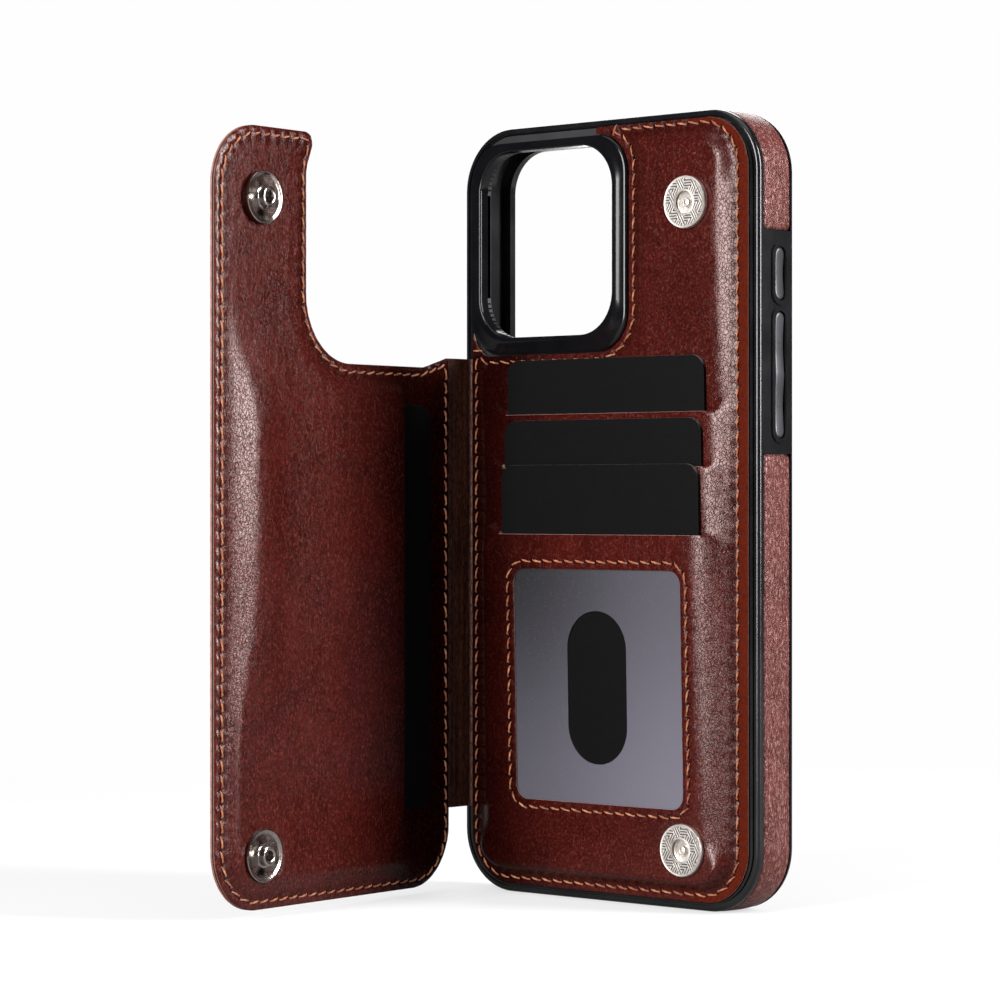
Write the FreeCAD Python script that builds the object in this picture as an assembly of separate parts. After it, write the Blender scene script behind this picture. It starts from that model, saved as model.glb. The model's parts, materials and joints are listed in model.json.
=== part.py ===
import FreeCAD, Part
import math
import os

# A wallet case for a phone.  It stands on its bottom edge: +Z is up, the screen side faces +Y and the
# wallet side faces -Y.  The origin is the middle of the bottom face.  "out" is the distance from the
# case's rear rim towards the wallet side, so a larger "out" is further towards -Y.  All sizes are in mm.

os.makedirs("parts", exist_ok=True)

# Case body
CASE_WIDTH = 81.0
CASE_HEIGHT = 163.5
CASE_DEPTH = 11.6
CASE_CORNER = 13.0
REAR_EDGE_ROUND = 0.8
FRONT_EDGE_ROUND = 1.1
HALF_WIDTH = CASE_WIDTH / 2
MIDDLE_Z = CASE_HEIGHT / 2
RIM_Y = -CASE_DEPTH / 2

# Phone space, screen lip, back plate and its lining
PHONE_WIDTH = 77.2
PHONE_HEIGHT = 159.8
PHONE_CORNER = 11.2
PHONE_BACK_OUT = -2.0
PHONE_FRONT_OUT = -10.0
SCREEN_LIP = 2.2
PLATE_FRONT_OUT = -1.8
PLATE_REAR_OUT = -0.8
PLATE_GRIP = 0.3

# Side bands of leather, let into the bumper
BAND_REAR_OUT = -1.5
BAND_FRONT_OUT = -10.4
BAND_DEPTH = 0.7
BAND_GAP = 0.02
RAIL_GROOVE_INSET = 1.15
RAIL_GROOVE_WIDTH = 0.45
RAIL_GROOVE_DEPTH = 0.45

# Side keys.  Each is (lower end, upper end) above the middle of the case.
ACTION_KEY = (42.6, 53.5)
VOLUME_KEY = (14.6, 40.4)
POWER_KEY = (14.8, 32.6)
RIGHT_KEY_ZONE = (11.5, 56.8)
LEFT_KEY_ZONE = (11.4, 36.7)
KEY_OUT = -6.7
KEY_WIDTH = 3.4
KEY_CLEARANCE = 0.05
KEY_PROUD = 0.25
KEY_RIM_WIDTH = 0.9
KEY_RIM_HEIGHT = 0.4
KEY_FLANGE = 0.55
KEY_FLANGE_THICKNESS = 0.45
KEY_DISH = 0.35

# Openings in the bottom edge
PORT_WIDTH = 13.0
PORT_HEIGHT = 5.6
SPEAKER_WIDTH = 14.0
SPEAKER_HEIGHT = 2.6
SPEAKER_X = 19.5
PORT_OUT = -CASE_DEPTH / 2

# Camera opening and the raised bezel round it
BEZEL = dict(left=-37.9, right=6.2, low=33.2, high=78.6, corner=8.3)
LENS_OPENING = dict(left=-34.6, right=2.6, low=36.9, high=76.6, corner=8.8)
BEZEL_SHOULDER_OUT = 1.2
BEZEL_TOP_OUT = 1.65
BEZEL_BEVEL = 0.7

# Wallet panel sewn on the back
PANEL_LEFT = -38.0
PANEL_RIGHT = 38.0
PANEL_LOW = -79.9
PANEL_HIGH = 80.2
PANEL_CORNER = 10.9
BOARD_FRONT_OUT = -0.3
FLANGE_OUT = 0.5
LEATHER = 0.4
CARD_TILT = 1.3
CARD_LENGTH = 85.6
CARD_WIDTH = 54.0
CARD_THICKNESS = 0.76
CARD_CORNER = 3.2
CARD_GAP = 0.03
CARD_X = 1.2
CARD_BASE_OUT = 1.62
LIPS = (20.2, 8.9, -5.1)
CARD_TOPS = (31.8, 19.0, 9.6)
WINDOW_GAP = 0.35
DIVIDER_MARGIN = 0.4
POCKET_LEFT = -26.2
POCKET_RIGHT = 28.7
SNAP_PLATEAU_OUT = 2.3
WINDOW = dict(left=-22.0, right=23.8, low=-61.2, high=-12.3, corner=3.0)
THUMB = dict(left=-7.4, right=8.8, low=-52.9, high=-20.9, corner=8.0)
WINDOW_SHEET = 0.25
WINDOW_MARGIN = 3.5
PANEL_GAP = 0.2
PANEL_SEAT_GAP = 0.2
PANEL_TIP_X = -2.6
PANEL_EAR_Z = 38.0
PANEL_SHOULDER = 2.0

# Padded steps over the pockets and the padded area above them
TIER_FOOT = dict(left=-34.8, right=34.6, low=-77.3)
TIER_FOOT_OUT = -2.0
TIER_FOOT_RISE = 11.6
TIER_TOP_LOW = -76.6
TIER_TOP_LEFT = POCKET_LEFT - 0.6
TIER_TOP_RIGHT = POCKET_RIGHT + 0.4
TIER_TOP_RISE = 6.0
PLATEAU_FOOT = dict(left=9.2, right=35.0, low=5.0, high=77.2)
PLATEAU_TOP = dict(left=12.0, right=31.6, low=5.0, high=74.0)

# Snap fasteners: sockets on the panel, studs on the flap
SNAP_X = 23.7
SNAP_HEIGHTS = (62.9, -69.2)
SOCKET_BASES = (2.25, 3.45)
SOCKET_RADIUS = 5.4
SOCKET_HEIGHT = 1.2
SOCKET_SKIN = 0.25
SOCKET_ROUNDING = 0.3
SOCKET_HOLE = 2.3
SOCKET_CUP_DEPTH = 0.52
SOCKET_WALL = 0.25
SOCKET_FLOOR = 0.1
SOCKET_PIN = 0.7
SOCKET_PIN_TOP = 0.75
STUD_FACE_OUT = 4.69
STUD_DISC = 0.71
STUD_LENGTH = 1.63
STUD_RADIUS = 2.1
STUD_BORE = 1.05
STUD_WASHER_RADIUS = 4.0
STUD_WASHER = 0.25

# Flap, described in its closed place
CREASE_X = -38.9
BODY_CREASE_OUT = 0.55
FLAP_CREASE_OUT = 6.75
CREASE_BEAD = 0.45
SPINE_LOW = -64.0
SPINE_HIGH = 32.6
SPINE_LEATHER = 0.5
SPINE_LINING = 0.18
FLAP_FREE_X = 37.0
FLAP_HINGE_X = -39.6
FLAP_LOW = -80.2
FLAP_HIGH = 77.4
FLAP_CORNER = 12.5
FLAP_TIP_X = 5.6
FLAP_TIP_BEND_Z = 71.0
CUTOUT_X = 8.8
CUTOUT_Z = 30.4
CUTOUT_CORNER = 14.0
HINGE_RISE = 2.4
HINGE_RISE_WIDTH = 8.6
FLAP_PAD_INSET = 3.4
FLAP_INNER_SLOPE = 3.2
FLAP_OUTER_SLOPE = 2.2
FLAP_OUTER_PAD_LEFT = -36.0
FLAP_INNER_OUT = 5.25
FLAP_INNER_FLANGE_OUT = 6.2
FLAP_CORE_OUT = 7.0
FLAP_CORE_THICKNESS = 0.5
FLAP_OUTER_FLANGE_OUT = 8.0
FLAP_OUTER_OUT = 8.5
FLAP_LEATHER = 0.45
SLIT_X = -21.6
SLIT_LOW = -64.2
SLIT_HIGH = 23.3
FLAP_CARD_LEFT = -31.1
FLAP_CARD_LOW = -63.3
FLAP_CARD_OUT = 5.75
FLAP_REST = 84.5

# Stitches
STITCH_PITCH = 3.0
STITCH_LENGTH = 2.1
STITCH_WIDTH = 0.5
STITCH_HEIGHT = 0.22
STITCH_SLANT = 10.0
STITCH_LIFT = 0.01
PANEL_STITCHES = [(-0.4, 79.25, 0.2), (35.5, 79.25, 9.0), (35.5, -78.45, 9.0), (-36.6, -78.45, 9.0),
                  (-36.6, 35.4, 0.3), (-34.8, 31.7, 3.0), (7.9, 31.7, 9.8), (7.9, 78.2, 7.0)]
WINDOW_STITCH_MARGIN = 1.6
FLAP_STITCH_INSET = 1.7
FLAP_STITCH_HINGE_X = CREASE_X + 2.1

X_AXIS = FreeCAD.Vector(1, 0, 0)
Z_AXIS = FreeCAD.Vector(0, 0, 1)


# ---------------------------------------------------------------- outlines and basic solids

def point(x, z, out):
    """A point x across, z above the middle of the case and out from the rim."""
    return FreeCAD.Vector(x, RIM_Y - out, MIDDLE_Z + z)


def rectangle(left, right, low, high, corner):
    """Corners of a rectangle, each as (x, z, rounding radius)."""
    return [(left, low, corner), (right, low, corner), (right, high, corner), (left, high, corner)]


def outline(corners, out):
    """Closed wire through rounded corners, flat at the given out."""
    edges = []
    starts = []
    ends = []
    count = len(corners)
    for index in range(count):
        x, z, radius = corners[index]
        before = corners[index - 1]
        after = corners[(index + 1) % count]
        here = FreeCAD.Vector(x, 0, z)
        back = (FreeCAD.Vector(before[0], 0, before[1]) - here).normalize()
        ahead = (FreeCAD.Vector(after[0], 0, after[1]) - here).normalize()
        half_angle = back.getAngle(ahead) / 2
        reach = radius / math.tan(half_angle)
        middle_way = (back + ahead).normalize()
        centre = here + middle_way * (radius / math.sin(half_angle))
        middle = centre - middle_way * radius
        start = here + back * reach
        end = here + ahead * reach
        starts.append(point(start.x, start.z, out))
        ends.append(point(end.x, end.z, out))
        edges.append(Part.Arc(starts[-1], point(middle.x, middle.z, out), ends[-1]).toShape())
    for index in range(count):
        follower = (index + 1) % count
        if (starts[follower] - ends[index]).Length > 1e-6:
            edges.append(Part.makeLine(ends[index], starts[follower]))
    return Part.Wire(Part.__sortEdges__(edges))


def slab(corners, low_out, high_out):
    """Flat plate with rounded corners between two outs."""
    face = Part.Face(outline(corners, low_out))
    return face.extrude(FreeCAD.Vector(0, low_out - high_out, 0))


def pillow(base, base_out, top, top_out):
    """Raised pad: straight sloping sides between a base outline and a top outline."""
    return Part.makeLoft([outline(base, base_out), outline(top, top_out)], True, True)


def box(left, right, low, high, low_out, high_out):
    """Square-cornered block."""
    corner = point(left, low, high_out)
    return Part.makeBox(right - left, high_out - low_out, high - low, corner)


def disc(x, z, radius, low_out, high_out):
    """Round plate whose axis points out of the case."""
    return Part.makeCylinder(radius, high_out - low_out, point(x, z, low_out), FreeCAD.Vector(0, -1, 0))


def ring(x, z, outer, inner, low_out, high_out):
    return disc(x, z, outer, low_out, high_out).cut(disc(x, z, inner, low_out - 1, high_out + 1))


def case_outline(inset):
    """Outline of the case body, drawn in by an inset."""
    half_height = MIDDLE_Z - inset
    half_width = HALF_WIDTH - inset
    return rectangle(-half_width, half_width, -half_height, half_height, CASE_CORNER - inset)


def tilted(shape):
    """Lean a shape outwards at the top, as the cards lean, about the first pocket's lip."""
    leaning = shape.copy()
    leaning.rotate(point(0, LIPS[0], CARD_BASE_OUT), X_AXIS, CARD_TILT)
    return leaning


def opened(shape):
    """Swing a shape on the flap from its closed place to its rest place; the spine stays straight out."""
    moved = shape.copy()
    moved.rotate(point(CREASE_X, 0, FLAP_CREASE_OUT), Z_AXIS, -FLAP_REST)
    return moved


def save(name, *solids):
    """Write one sub-part; several solids share a file when they are the same kind of piece."""
    shape = solids[0] if len(solids) == 1 else Part.makeCompound(list(solids))
    if not shape.isValid():
        raise ValueError(name + " is not a valid shape")
    shape.exportStep("parts/" + name + ".step")


def one_solid(shape):
    """The only solid of a shape; more or fewer means a cut went wrong."""
    if len(shape.Solids) != 1:
        raise ValueError("expected one solid, found %d" % len(shape.Solids))
    return shape.Solids[0]


# ---------------------------------------------------------------- case body

def key_prism(span, width_gain, inner_x, outer_x):
    """Round-ended bar lying along the right side of the case, between two distances from the middle."""
    low, high = span
    radius = KEY_WIDTH / 2 + width_gain
    low_centre = low + KEY_WIDTH / 2
    high_centre = high - KEY_WIDTH / 2
    length = outer_x - inner_x
    bar = Part.makeCylinder(radius, length, point(inner_x, low_centre, KEY_OUT), X_AXIS)
    top = Part.makeCylinder(radius, length, point(inner_x, high_centre, KEY_OUT), X_AXIS)
    middle = box(inner_x, outer_x, low_centre, high_centre, KEY_OUT - radius, KEY_OUT + radius)
    return bar.fuse([middle, top]).removeSplitter()


def left_side(shape):
    """The same shape on the opposite side of the case."""
    return shape.mirror(FreeCAD.Vector(0, 0, 0), X_AXIS)


def key_hole(span):
    """Window for a key, with a wider recess inside for its flange."""
    window = key_prism(span, KEY_CLEARANCE, PHONE_WIDTH / 2 - 1, HALF_WIDTH + 2)
    recess_end = PHONE_WIDTH / 2 + 0.15 + KEY_FLANGE_THICKNESS + KEY_CLEARANCE
    recess = key_prism(span, KEY_FLANGE + KEY_CLEARANCE, PHONE_WIDTH / 2 - 1, recess_end)
    return window.fuse(recess)


def key_rim(span):
    """Low wall round a key on the outside of the bumper."""
    wall = key_prism(span, KEY_RIM_WIDTH, HALF_WIDTH - 0.5, HALF_WIDTH + KEY_RIM_HEIGHT)
    return wall.cut(key_prism(span, KEY_CLEARANCE, HALF_WIDTH - 1, HALF_WIDTH + 1))


def key(span, dishes):
    """Side key: a flanged bar whose outer face is hollowed for a finger."""
    low, high = span
    flange_start = PHONE_WIDTH / 2 + 0.15
    outer = HALF_WIDTH + KEY_PROUD
    body = key_prism(span, 0, flange_start, outer)
    flange = key_prism(span, KEY_FLANGE, flange_start, flange_start + KEY_FLANGE_THICKNESS)
    body = body.fuse(flange).removeSplitter()
    dish_length = (high - low) / dishes
    dish_radius = (dish_length ** 2 / 4 + KEY_DISH ** 2) / (2 * KEY_DISH)
    for number in range(dishes):
        centre_z = low + dish_length * (number + 0.5)
        centre = point(outer - KEY_DISH + dish_radius, centre_z, KEY_OUT - KEY_WIDTH)
        body = body.cut(Part.makeCylinder(dish_radius, 2 * KEY_WIDTH, centre, FreeCAD.Vector(0, -1, 0)))
    return one_solid(body)


def bottom_openings():
    """Slots for the charging plug and the speakers, through the bottom edge."""
    shapes = []
    for x, width, height in ((0, PORT_WIDTH, PORT_HEIGHT),
                             (-SPEAKER_X, SPEAKER_WIDTH, SPEAKER_HEIGHT),
                             (SPEAKER_X, SPEAKER_WIDTH, SPEAKER_HEIGHT)):
        radius = height / 2
        start = -MIDDLE_Z - 1
        left = point(x - width / 2 + radius, start, PORT_OUT)
        right = point(x + width / 2 - radius, start, PORT_OUT)
        straight = Part.makeBox(width - height, height, 4, left - FreeCAD.Vector(0, radius, 0))
        ends = [Part.makeCylinder(radius, 4, left, Z_AXIS), Part.makeCylinder(radius, 4, right, Z_AXIS)]
        shapes.append(straight.fuse(ends).removeSplitter())
    return shapes


def key_zone(zone, left, gap):
    """Block covering one side of the case where the keys are and the leather band is left out."""
    low, high = zone
    block = box(HALF_WIDTH - 3, HALF_WIDTH + 3, low - gap, high + gap, -CASE_DEPTH, 0)
    return left_side(block) if left else block


def band_ring(depth, gap):
    """Ring of leather round the edge of the case, between the rails and the front lip."""
    around = slab(case_outline(-1), BAND_FRONT_OUT + gap, BAND_REAR_OUT - gap)
    return around.cut(slab(case_outline(depth), BAND_FRONT_OUT - 1, BAND_REAR_OUT + 1))


def rounded_case():
    """Outside shape of the bumper, with softened edges front and rear."""
    body = slab(case_outline(0), -CASE_DEPTH, 0)
    rear = [edge for edge in body.Edges if abs(edge.BoundBox.YMax - RIM_Y) < 1e-6]
    body = body.makeFillet(REAR_EDGE_ROUND, rear)
    front_y = RIM_Y + CASE_DEPTH
    front = [edge for edge in body.Edges if abs(edge.BoundBox.YMin - front_y) < 1e-6]
    return body.makeFillet(FRONT_EDGE_ROUND, front)


def phone_outline(inset):
    half_width = PHONE_WIDTH / 2 - inset
    half_height = PHONE_HEIGHT / 2 - inset
    return rectangle(-half_width, half_width, -half_height, half_height, PHONE_CORNER - inset)


def panel_seat():
    gap = PANEL_SEAT_GAP
    return rectangle(PANEL_LEFT - gap, PANEL_RIGHT + gap, PANEL_LOW - gap, PANEL_HIGH + gap,
                     PANEL_CORNER + gap / 2)


def make_bumper():
    body = rounded_case()
    body = body.cut(slab(panel_seat(), PLATE_REAR_OUT - 0.5, 1))
    body = body.cut(slab(phone_outline(-PLATE_GRIP - 0.02), PLATE_FRONT_OUT - 0.02, PLATE_REAR_OUT + 0.02))
    body = body.cut(slab(phone_outline(0), PHONE_FRONT_OUT, PLATE_FRONT_OUT + 0.1))
    body = body.cut(slab(phone_outline(SCREEN_LIP), -CASE_DEPTH - 1, PHONE_FRONT_OUT + 1))
    groove = slab(case_outline(RAIL_GROOVE_INSET), -RAIL_GROOVE_DEPTH, 1)
    groove = groove.cut(slab(case_outline(RAIL_GROOVE_INSET + RAIL_GROOVE_WIDTH), -1, 2))
    band = band_ring(BAND_DEPTH, 0)
    band = band.cut(key_zone(RIGHT_KEY_ZONE, False, 0)).cut(key_zone(LEFT_KEY_ZONE, True, 0))
    body = body.cut([groove, band])
    body = body.fuse([key_rim(ACTION_KEY), key_rim(VOLUME_KEY), left_side(key_rim(POWER_KEY))])
    body = body.cut([key_hole(ACTION_KEY), key_hole(VOLUME_KEY), left_side(key_hole(POWER_KEY))])
    return one_solid(body.cut(bottom_openings()))


def make_bands():
    """The upper and lower leather strips, which stop either side of the keys."""
    ring_shape = band_ring(BAND_DEPTH - BAND_GAP, BAND_GAP).common(slab(case_outline(0), -CASE_DEPTH, 0))
    ring_shape = ring_shape.cut(key_zone(RIGHT_KEY_ZONE, False, BAND_GAP))
    ring_shape = ring_shape.cut(key_zone(LEFT_KEY_ZONE, True, BAND_GAP))
    ring_shape = ring_shape.cut(bottom_openings())
    strips = sorted(ring_shape.Solids, key=lambda solid: solid.CenterOfMass.z)
    if len(strips) != 2:
        raise ValueError("the band should be two strips")
    return strips


def lens_opening(gap):
    return slab(rectangle(**grown(LENS_OPENING, gap)), -4, 4)


def grown(area, gap):
    """A rectangular area enlarged by a gap on every side."""
    return dict(left=area["left"] - gap, right=area["right"] + gap, low=area["low"] - gap,
                high=area["high"] + gap, corner=area["corner"] + gap)


def make_plate():
    plate = slab(phone_outline(-PLATE_GRIP), PLATE_FRONT_OUT, PLATE_REAR_OUT)
    return one_solid(plate.cut(lens_opening(0)))


def make_lining():
    lining = slab(phone_outline(0.15), PHONE_BACK_OUT, PLATE_FRONT_OUT)
    return one_solid(lining.cut(lens_opening(0.3)))


def make_bezel():
    foot = slab(rectangle(**BEZEL), PLATE_REAR_OUT, BEZEL_SHOULDER_OUT)
    top = rectangle(**grown(BEZEL, -BEZEL_BEVEL))
    crown = pillow(rectangle(**BEZEL), BEZEL_SHOULDER_OUT, top, BEZEL_TOP_OUT)
    return one_solid(foot.fuse(crown).cut(lens_opening(0)).removeSplitter())


# ---------------------------------------------------------------- wallet panel

def panel_corners(inset):
    """Outline of the leather panel: the case's back less the camera's corner."""
    camera_x = BEZEL["right"] + PANEL_GAP + inset
    camera_z = BEZEL["low"] - PANEL_GAP - inset
    camera_top = BEZEL["high"] + PANEL_GAP
    corner = BEZEL["corner"] + PANEL_GAP
    rounding = PANEL_CORNER - inset
    tip_x = PANEL_TIP_X + inset
    left = PANEL_LEFT + inset
    right = PANEL_RIGHT - inset
    low = PANEL_LOW + inset
    high = PANEL_HIGH - inset
    ear_z = PANEL_EAR_Z - inset
    return [(tip_x, high, 0.4), (right, high, rounding), (right, low, rounding), (left, low, rounding),
            (left, ear_z, 0.15), (left + 0.4, ear_z, 0.15), (PANEL_LEFT + PANEL_SHOULDER, camera_z, 5.0),
            (camera_x, camera_z, corner), (camera_x, camera_top, corner), (tip_x, camera_top, 0.3)]


def tier_out(number):
    """Front of the leather over pocket 1, 2 or 3, measured square to the cards."""
    step = CARD_THICKNESS + 2 * CARD_GAP + LEATHER
    front = CARD_BASE_OUT + CARD_THICKNESS + CARD_GAP + LEATHER + (number - 1) * step
    return front + (WINDOW_GAP if number == 3 else 0)


def card_out(number):
    """Back face of card 1, 2 or 3."""
    return CARD_BASE_OUT + (number - 1) * (CARD_THICKNESS + 2 * CARD_GAP + LEATHER)


def tier(number, skin):
    """Padded step over one pocket, its slot side cut back to the pocket's lip.  skin thins it."""
    lip = LIPS[number - 1]
    left = TIER_FOOT["left"] + skin
    right = TIER_FOOT["right"] - skin
    low = TIER_FOOT["low"] + skin
    high = lip + TIER_FOOT_RISE - skin
    base = [(left, low, 7.5), (right, low, 7.5), (right, high, 3.0), (left, high, 3.0)]
    left = TIER_TOP_LEFT + skin
    right = TIER_TOP_RIGHT - skin
    low = TIER_TOP_LOW + skin
    high = lip + TIER_TOP_RISE - skin
    top = [(left, low, 3.5), (right, low, 3.5), (right, high, 1.0), (left, high, 1.0)]
    shape = pillow(base, TIER_FOOT_OUT, top, tier_out(number) - skin)
    slot = box(POCKET_LEFT, POCKET_RIGHT, lip, lip + 30, -5, 20)
    return tilted(shape.cut(slot))


def plateau_corners(area, skin, right_corner, left_corner):
    left = area["left"] + skin
    right = area["right"] - skin
    low = area["low"]
    high = area["high"] - skin
    return [(left, low, 1.0), (right, low, 1.0), (right, high, right_corner), (left, high, left_corner)]


def snap_plateau(skin):
    """Padded area above the pockets, which carries the upper socket and keeps below the first card."""
    base = plateau_corners(PLATEAU_FOOT, skin, 8.0, 3.0)
    top = plateau_corners(PLATEAU_TOP, skin, 5.0, 2.0)
    shape = pillow(base, 0, top, SNAP_PLATEAU_OUT - skin)
    under_card = tilted(box(-60, 60, -100, 100, -10, CARD_BASE_OUT - CARD_GAP - skin))
    return shape.common(under_card)


def panel_volume(skin):
    """Everything under the front of the panel's leather.  skin leaves out the leather itself."""
    above_board = box(-60, 60, -100, 100, BOARD_FRONT_OUT, 20)
    raised = snap_plateau(skin).fuse([tier(number, skin) for number in (1, 2, 3)])
    return raised.common(above_board)


def card(number, gap):
    """Card in pocket 1, 2 or 3, or the space for it when gap is more than nothing."""
    top = CARD_TOPS[number - 1]
    half = CARD_WIDTH / 2 + gap
    corners = rectangle(CARD_X - half, CARD_X + half, top - CARD_LENGTH - gap, top + gap, CARD_CORNER)
    low_out = card_out(number)
    side_gap = CARD_GAP if gap else 0
    return tilted(slab(corners, low_out - side_gap, low_out + CARD_THICKNESS + side_gap))


def divider(number):
    """Thin lining between card number and the next card further out."""
    low_out = card_out(number) + CARD_THICKNESS + CARD_GAP + 0.02
    high_out = card_out(number + 1) - CARD_GAP - 0.02
    low = CARD_TOPS[number] - CARD_LENGTH
    high = LIPS[number] - DIVIDER_MARGIN
    left = POCKET_LEFT + DIVIDER_MARGIN
    right = POCKET_RIGHT - DIVIDER_MARGIN
    corners = rectangle(left, right, low, high, CARD_CORNER)
    return tilted(slab(corners, low_out, high_out))


def window_sheet():
    area = grown(WINDOW, WINDOW_MARGIN)
    out = tier_out(3) - LEATHER - WINDOW_SHEET - 0.03
    sheet = slab(rectangle(**area), out, out + WINDOW_SHEET)
    return tilted(sheet.cut(slab(rectangle(**THUMB), out - 1, out + 2)))


def window_cut():
    return tilted(slab(rectangle(**WINDOW), tier_out(3) - 2 * LEATHER, tier_out(3) + 2))


def socket_seats(depth):
    """Cuts that seat each socket's base plate and its cup in the panel."""
    cuts = []
    for z, base in zip(SNAP_HEIGHTS, SOCKET_BASES):
        cuts.append(disc(SNAP_X, z, SOCKET_RADIUS + 0.1, base, base + 3))
        cuts.append(disc(SNAP_X, z, SOCKET_HOLE + SOCKET_WALL + 0.05, base - depth, base + 1))
    return cuts


def make_panel_leather(volume, core):
    """The leather of the panel, with three slits, the window and holes for the sockets."""
    flange = slab(panel_corners(0), BOARD_FRONT_OUT, FLANGE_OUT)
    leather = flange.fuse(volume)
    hollow = core.common(box(-60, 60, -100, 100, BOARD_FRONT_OUT - 1, 20))
    leather = leather.cut(hollow)
    leather = leather.cut([card(number, 0.3) for number in (1, 2, 3)])
    leather = leather.cut([window_cut()] + socket_seats(SOCKET_CUP_DEPTH + 0.3))
    return largest(leather)


def largest(shape):
    """The biggest solid of a shape; slivers left by cuts are dropped."""
    return max(shape.Solids, key=lambda solid: solid.Volume)


def make_panel_padding(core):
    padding = core.cut([card(number, 0.3) for number in (1, 2, 3)])
    padding = padding.cut([divider_space(number) for number in (1, 2)])
    sheet_space = grown(WINDOW, WINDOW_MARGIN + 0.2)
    out = tier_out(3) - LEATHER
    padding = padding.cut(tilted(slab(rectangle(**sheet_space), out - WINDOW_GAP - CARD_GAP, out + 0.1)))
    padding = padding.cut(socket_seats(SOCKET_CUP_DEPTH + 0.3))
    return largest(padding)


def divider_space(number):
    """Space between two cards, open over the whole pocket."""
    low_out = card_out(number) + CARD_THICKNESS
    high_out = card_out(number + 1)
    low = CARD_TOPS[number] - CARD_LENGTH - 0.3
    corners = rectangle(POCKET_LEFT, POCKET_RIGHT, low, LIPS[number], 1.0)
    return tilted(slab(corners, low_out, high_out))


def make_board():
    return one_solid(slab(panel_corners(0), PLATE_REAR_OUT, BOARD_FRONT_OUT))


# ---------------------------------------------------------------- snap fasteners

def socket_cap(z, base):
    """Pressed cap of a socket: a shallow hollow drum with a hole in its face."""
    top = base + SOCKET_HEIGHT
    shell = disc(SNAP_X, z, SOCKET_RADIUS, base, top)
    rim = [edge for edge in shell.Edges if abs(edge.BoundBox.YMax - (RIM_Y - top)) < 1e-6]
    shell = shell.makeFillet(SOCKET_ROUNDING, rim)
    shell = shell.cut(disc(SNAP_X, z, SOCKET_RADIUS - SOCKET_SKIN, base - 1, top - SOCKET_SKIN))
    return one_solid(shell.cut(disc(SNAP_X, z, SOCKET_HOLE, base, top + 1)))


def socket_magnet(z, base):
    low = base + SOCKET_SKIN + 0.02
    high = base + SOCKET_HEIGHT - SOCKET_SKIN - 0.02
    return ring(SNAP_X, z, SOCKET_RADIUS - SOCKET_SKIN - 0.1, SOCKET_HOLE + 0.3, low, high)


def socket_base(z, base):
    """Base plate with a cup that takes the stud and a pin in the middle of the cup."""
    cup_radius = SOCKET_HOLE + SOCKET_WALL
    floor = base - SOCKET_CUP_DEPTH
    plate = disc(SNAP_X, z, SOCKET_RADIUS - SOCKET_SKIN - 0.03, base, base + SOCKET_SKIN)
    cup = disc(SNAP_X, z, cup_radius, floor, base + SOCKET_SKIN)
    hollow = disc(SNAP_X, z, SOCKET_HOLE, floor + SOCKET_FLOOR, base + 2)
    pin = disc(SNAP_X, z, SOCKET_PIN, floor, base + SOCKET_PIN_TOP)
    return one_solid(plate.fuse(cup).cut(hollow).fuse(pin).removeSplitter())


def stud(z):
    """Dished stud with a tubular post, on the flap."""
    face = STUD_FACE_OUT
    plate = disc(SNAP_X, z, SOCKET_RADIUS, face, face + STUD_DISC)
    dish = Part.makeCone(SOCKET_RADIUS - 0.5, SOCKET_RADIUS - 1.6, 0.3, point(SNAP_X, z, face),
                         FreeCAD.Vector(0, -1, 0))
    post = disc(SNAP_X, z, STUD_RADIUS, face - STUD_LENGTH, face + STUD_DISC + STUD_WASHER)
    bore = disc(SNAP_X, z, STUD_BORE, face - STUD_LENGTH - 1, face + 0.2)
    return one_solid(plate.cut(dish).fuse(post).cut(bore).removeSplitter())


def stud_washer(z):
    base = STUD_FACE_OUT + STUD_DISC
    return ring(SNAP_X, z, STUD_WASHER_RADIUS, STUD_RADIUS + 0.02, base, base + STUD_WASHER)


def stud_seats():
    """Cuts in the flap that take the studs' discs and washers."""
    cuts = []
    for z in SNAP_HEIGHTS:
        disc_end = STUD_FACE_OUT + STUD_DISC
        cuts.append(disc(SNAP_X, z, SOCKET_RADIUS + 0.05, 0, disc_end))
        cuts.append(disc(SNAP_X, z, STUD_WASHER_RADIUS + 0.1, disc_end, disc_end + STUD_WASHER))
    return cuts


# ---------------------------------------------------------------- flap and spine

def flap_corners(inset, hinge_x):
    """Outline of the flap, cut away round the camera."""
    free_x = FLAP_FREE_X - inset
    rounding = FLAP_CORNER - inset
    cutout_x = CUTOUT_X + inset
    cutout_z = CUTOUT_Z - inset
    tip_z = FLAP_HIGH - inset
    return [(FLAP_TIP_X + 1.6 * inset, tip_z, 1.0), (free_x, tip_z, rounding),
            (free_x, FLAP_LOW + inset, rounding), (hinge_x, FLAP_LOW + inset, rounding),
            (hinge_x, cutout_z + HINGE_RISE, 0.6), (hinge_x + HINGE_RISE_WIDTH, cutout_z, 6.0),
            (cutout_x, cutout_z, CUTOUT_CORNER + inset), (cutout_x, FLAP_TIP_BEND_Z, 6.0)]


def pad_corners(left, reach, corners):
    """Outline of a pad on the flap, a reach inside the flap's own outline.  corners are its roundings."""
    tip, free, hinge, hinge_top, cutout = corners
    right = FLAP_FREE_X - reach
    low = FLAP_LOW + reach
    cutout_x = CUTOUT_X + reach
    cutout_z = CUTOUT_Z - reach
    high = FLAP_HIGH - reach
    return [(cutout_x, high, tip), (right, high, free), (right, low, free), (left, low, hinge),
            (left, cutout_z, hinge_top), (cutout_x, cutout_z, cutout)]


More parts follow.
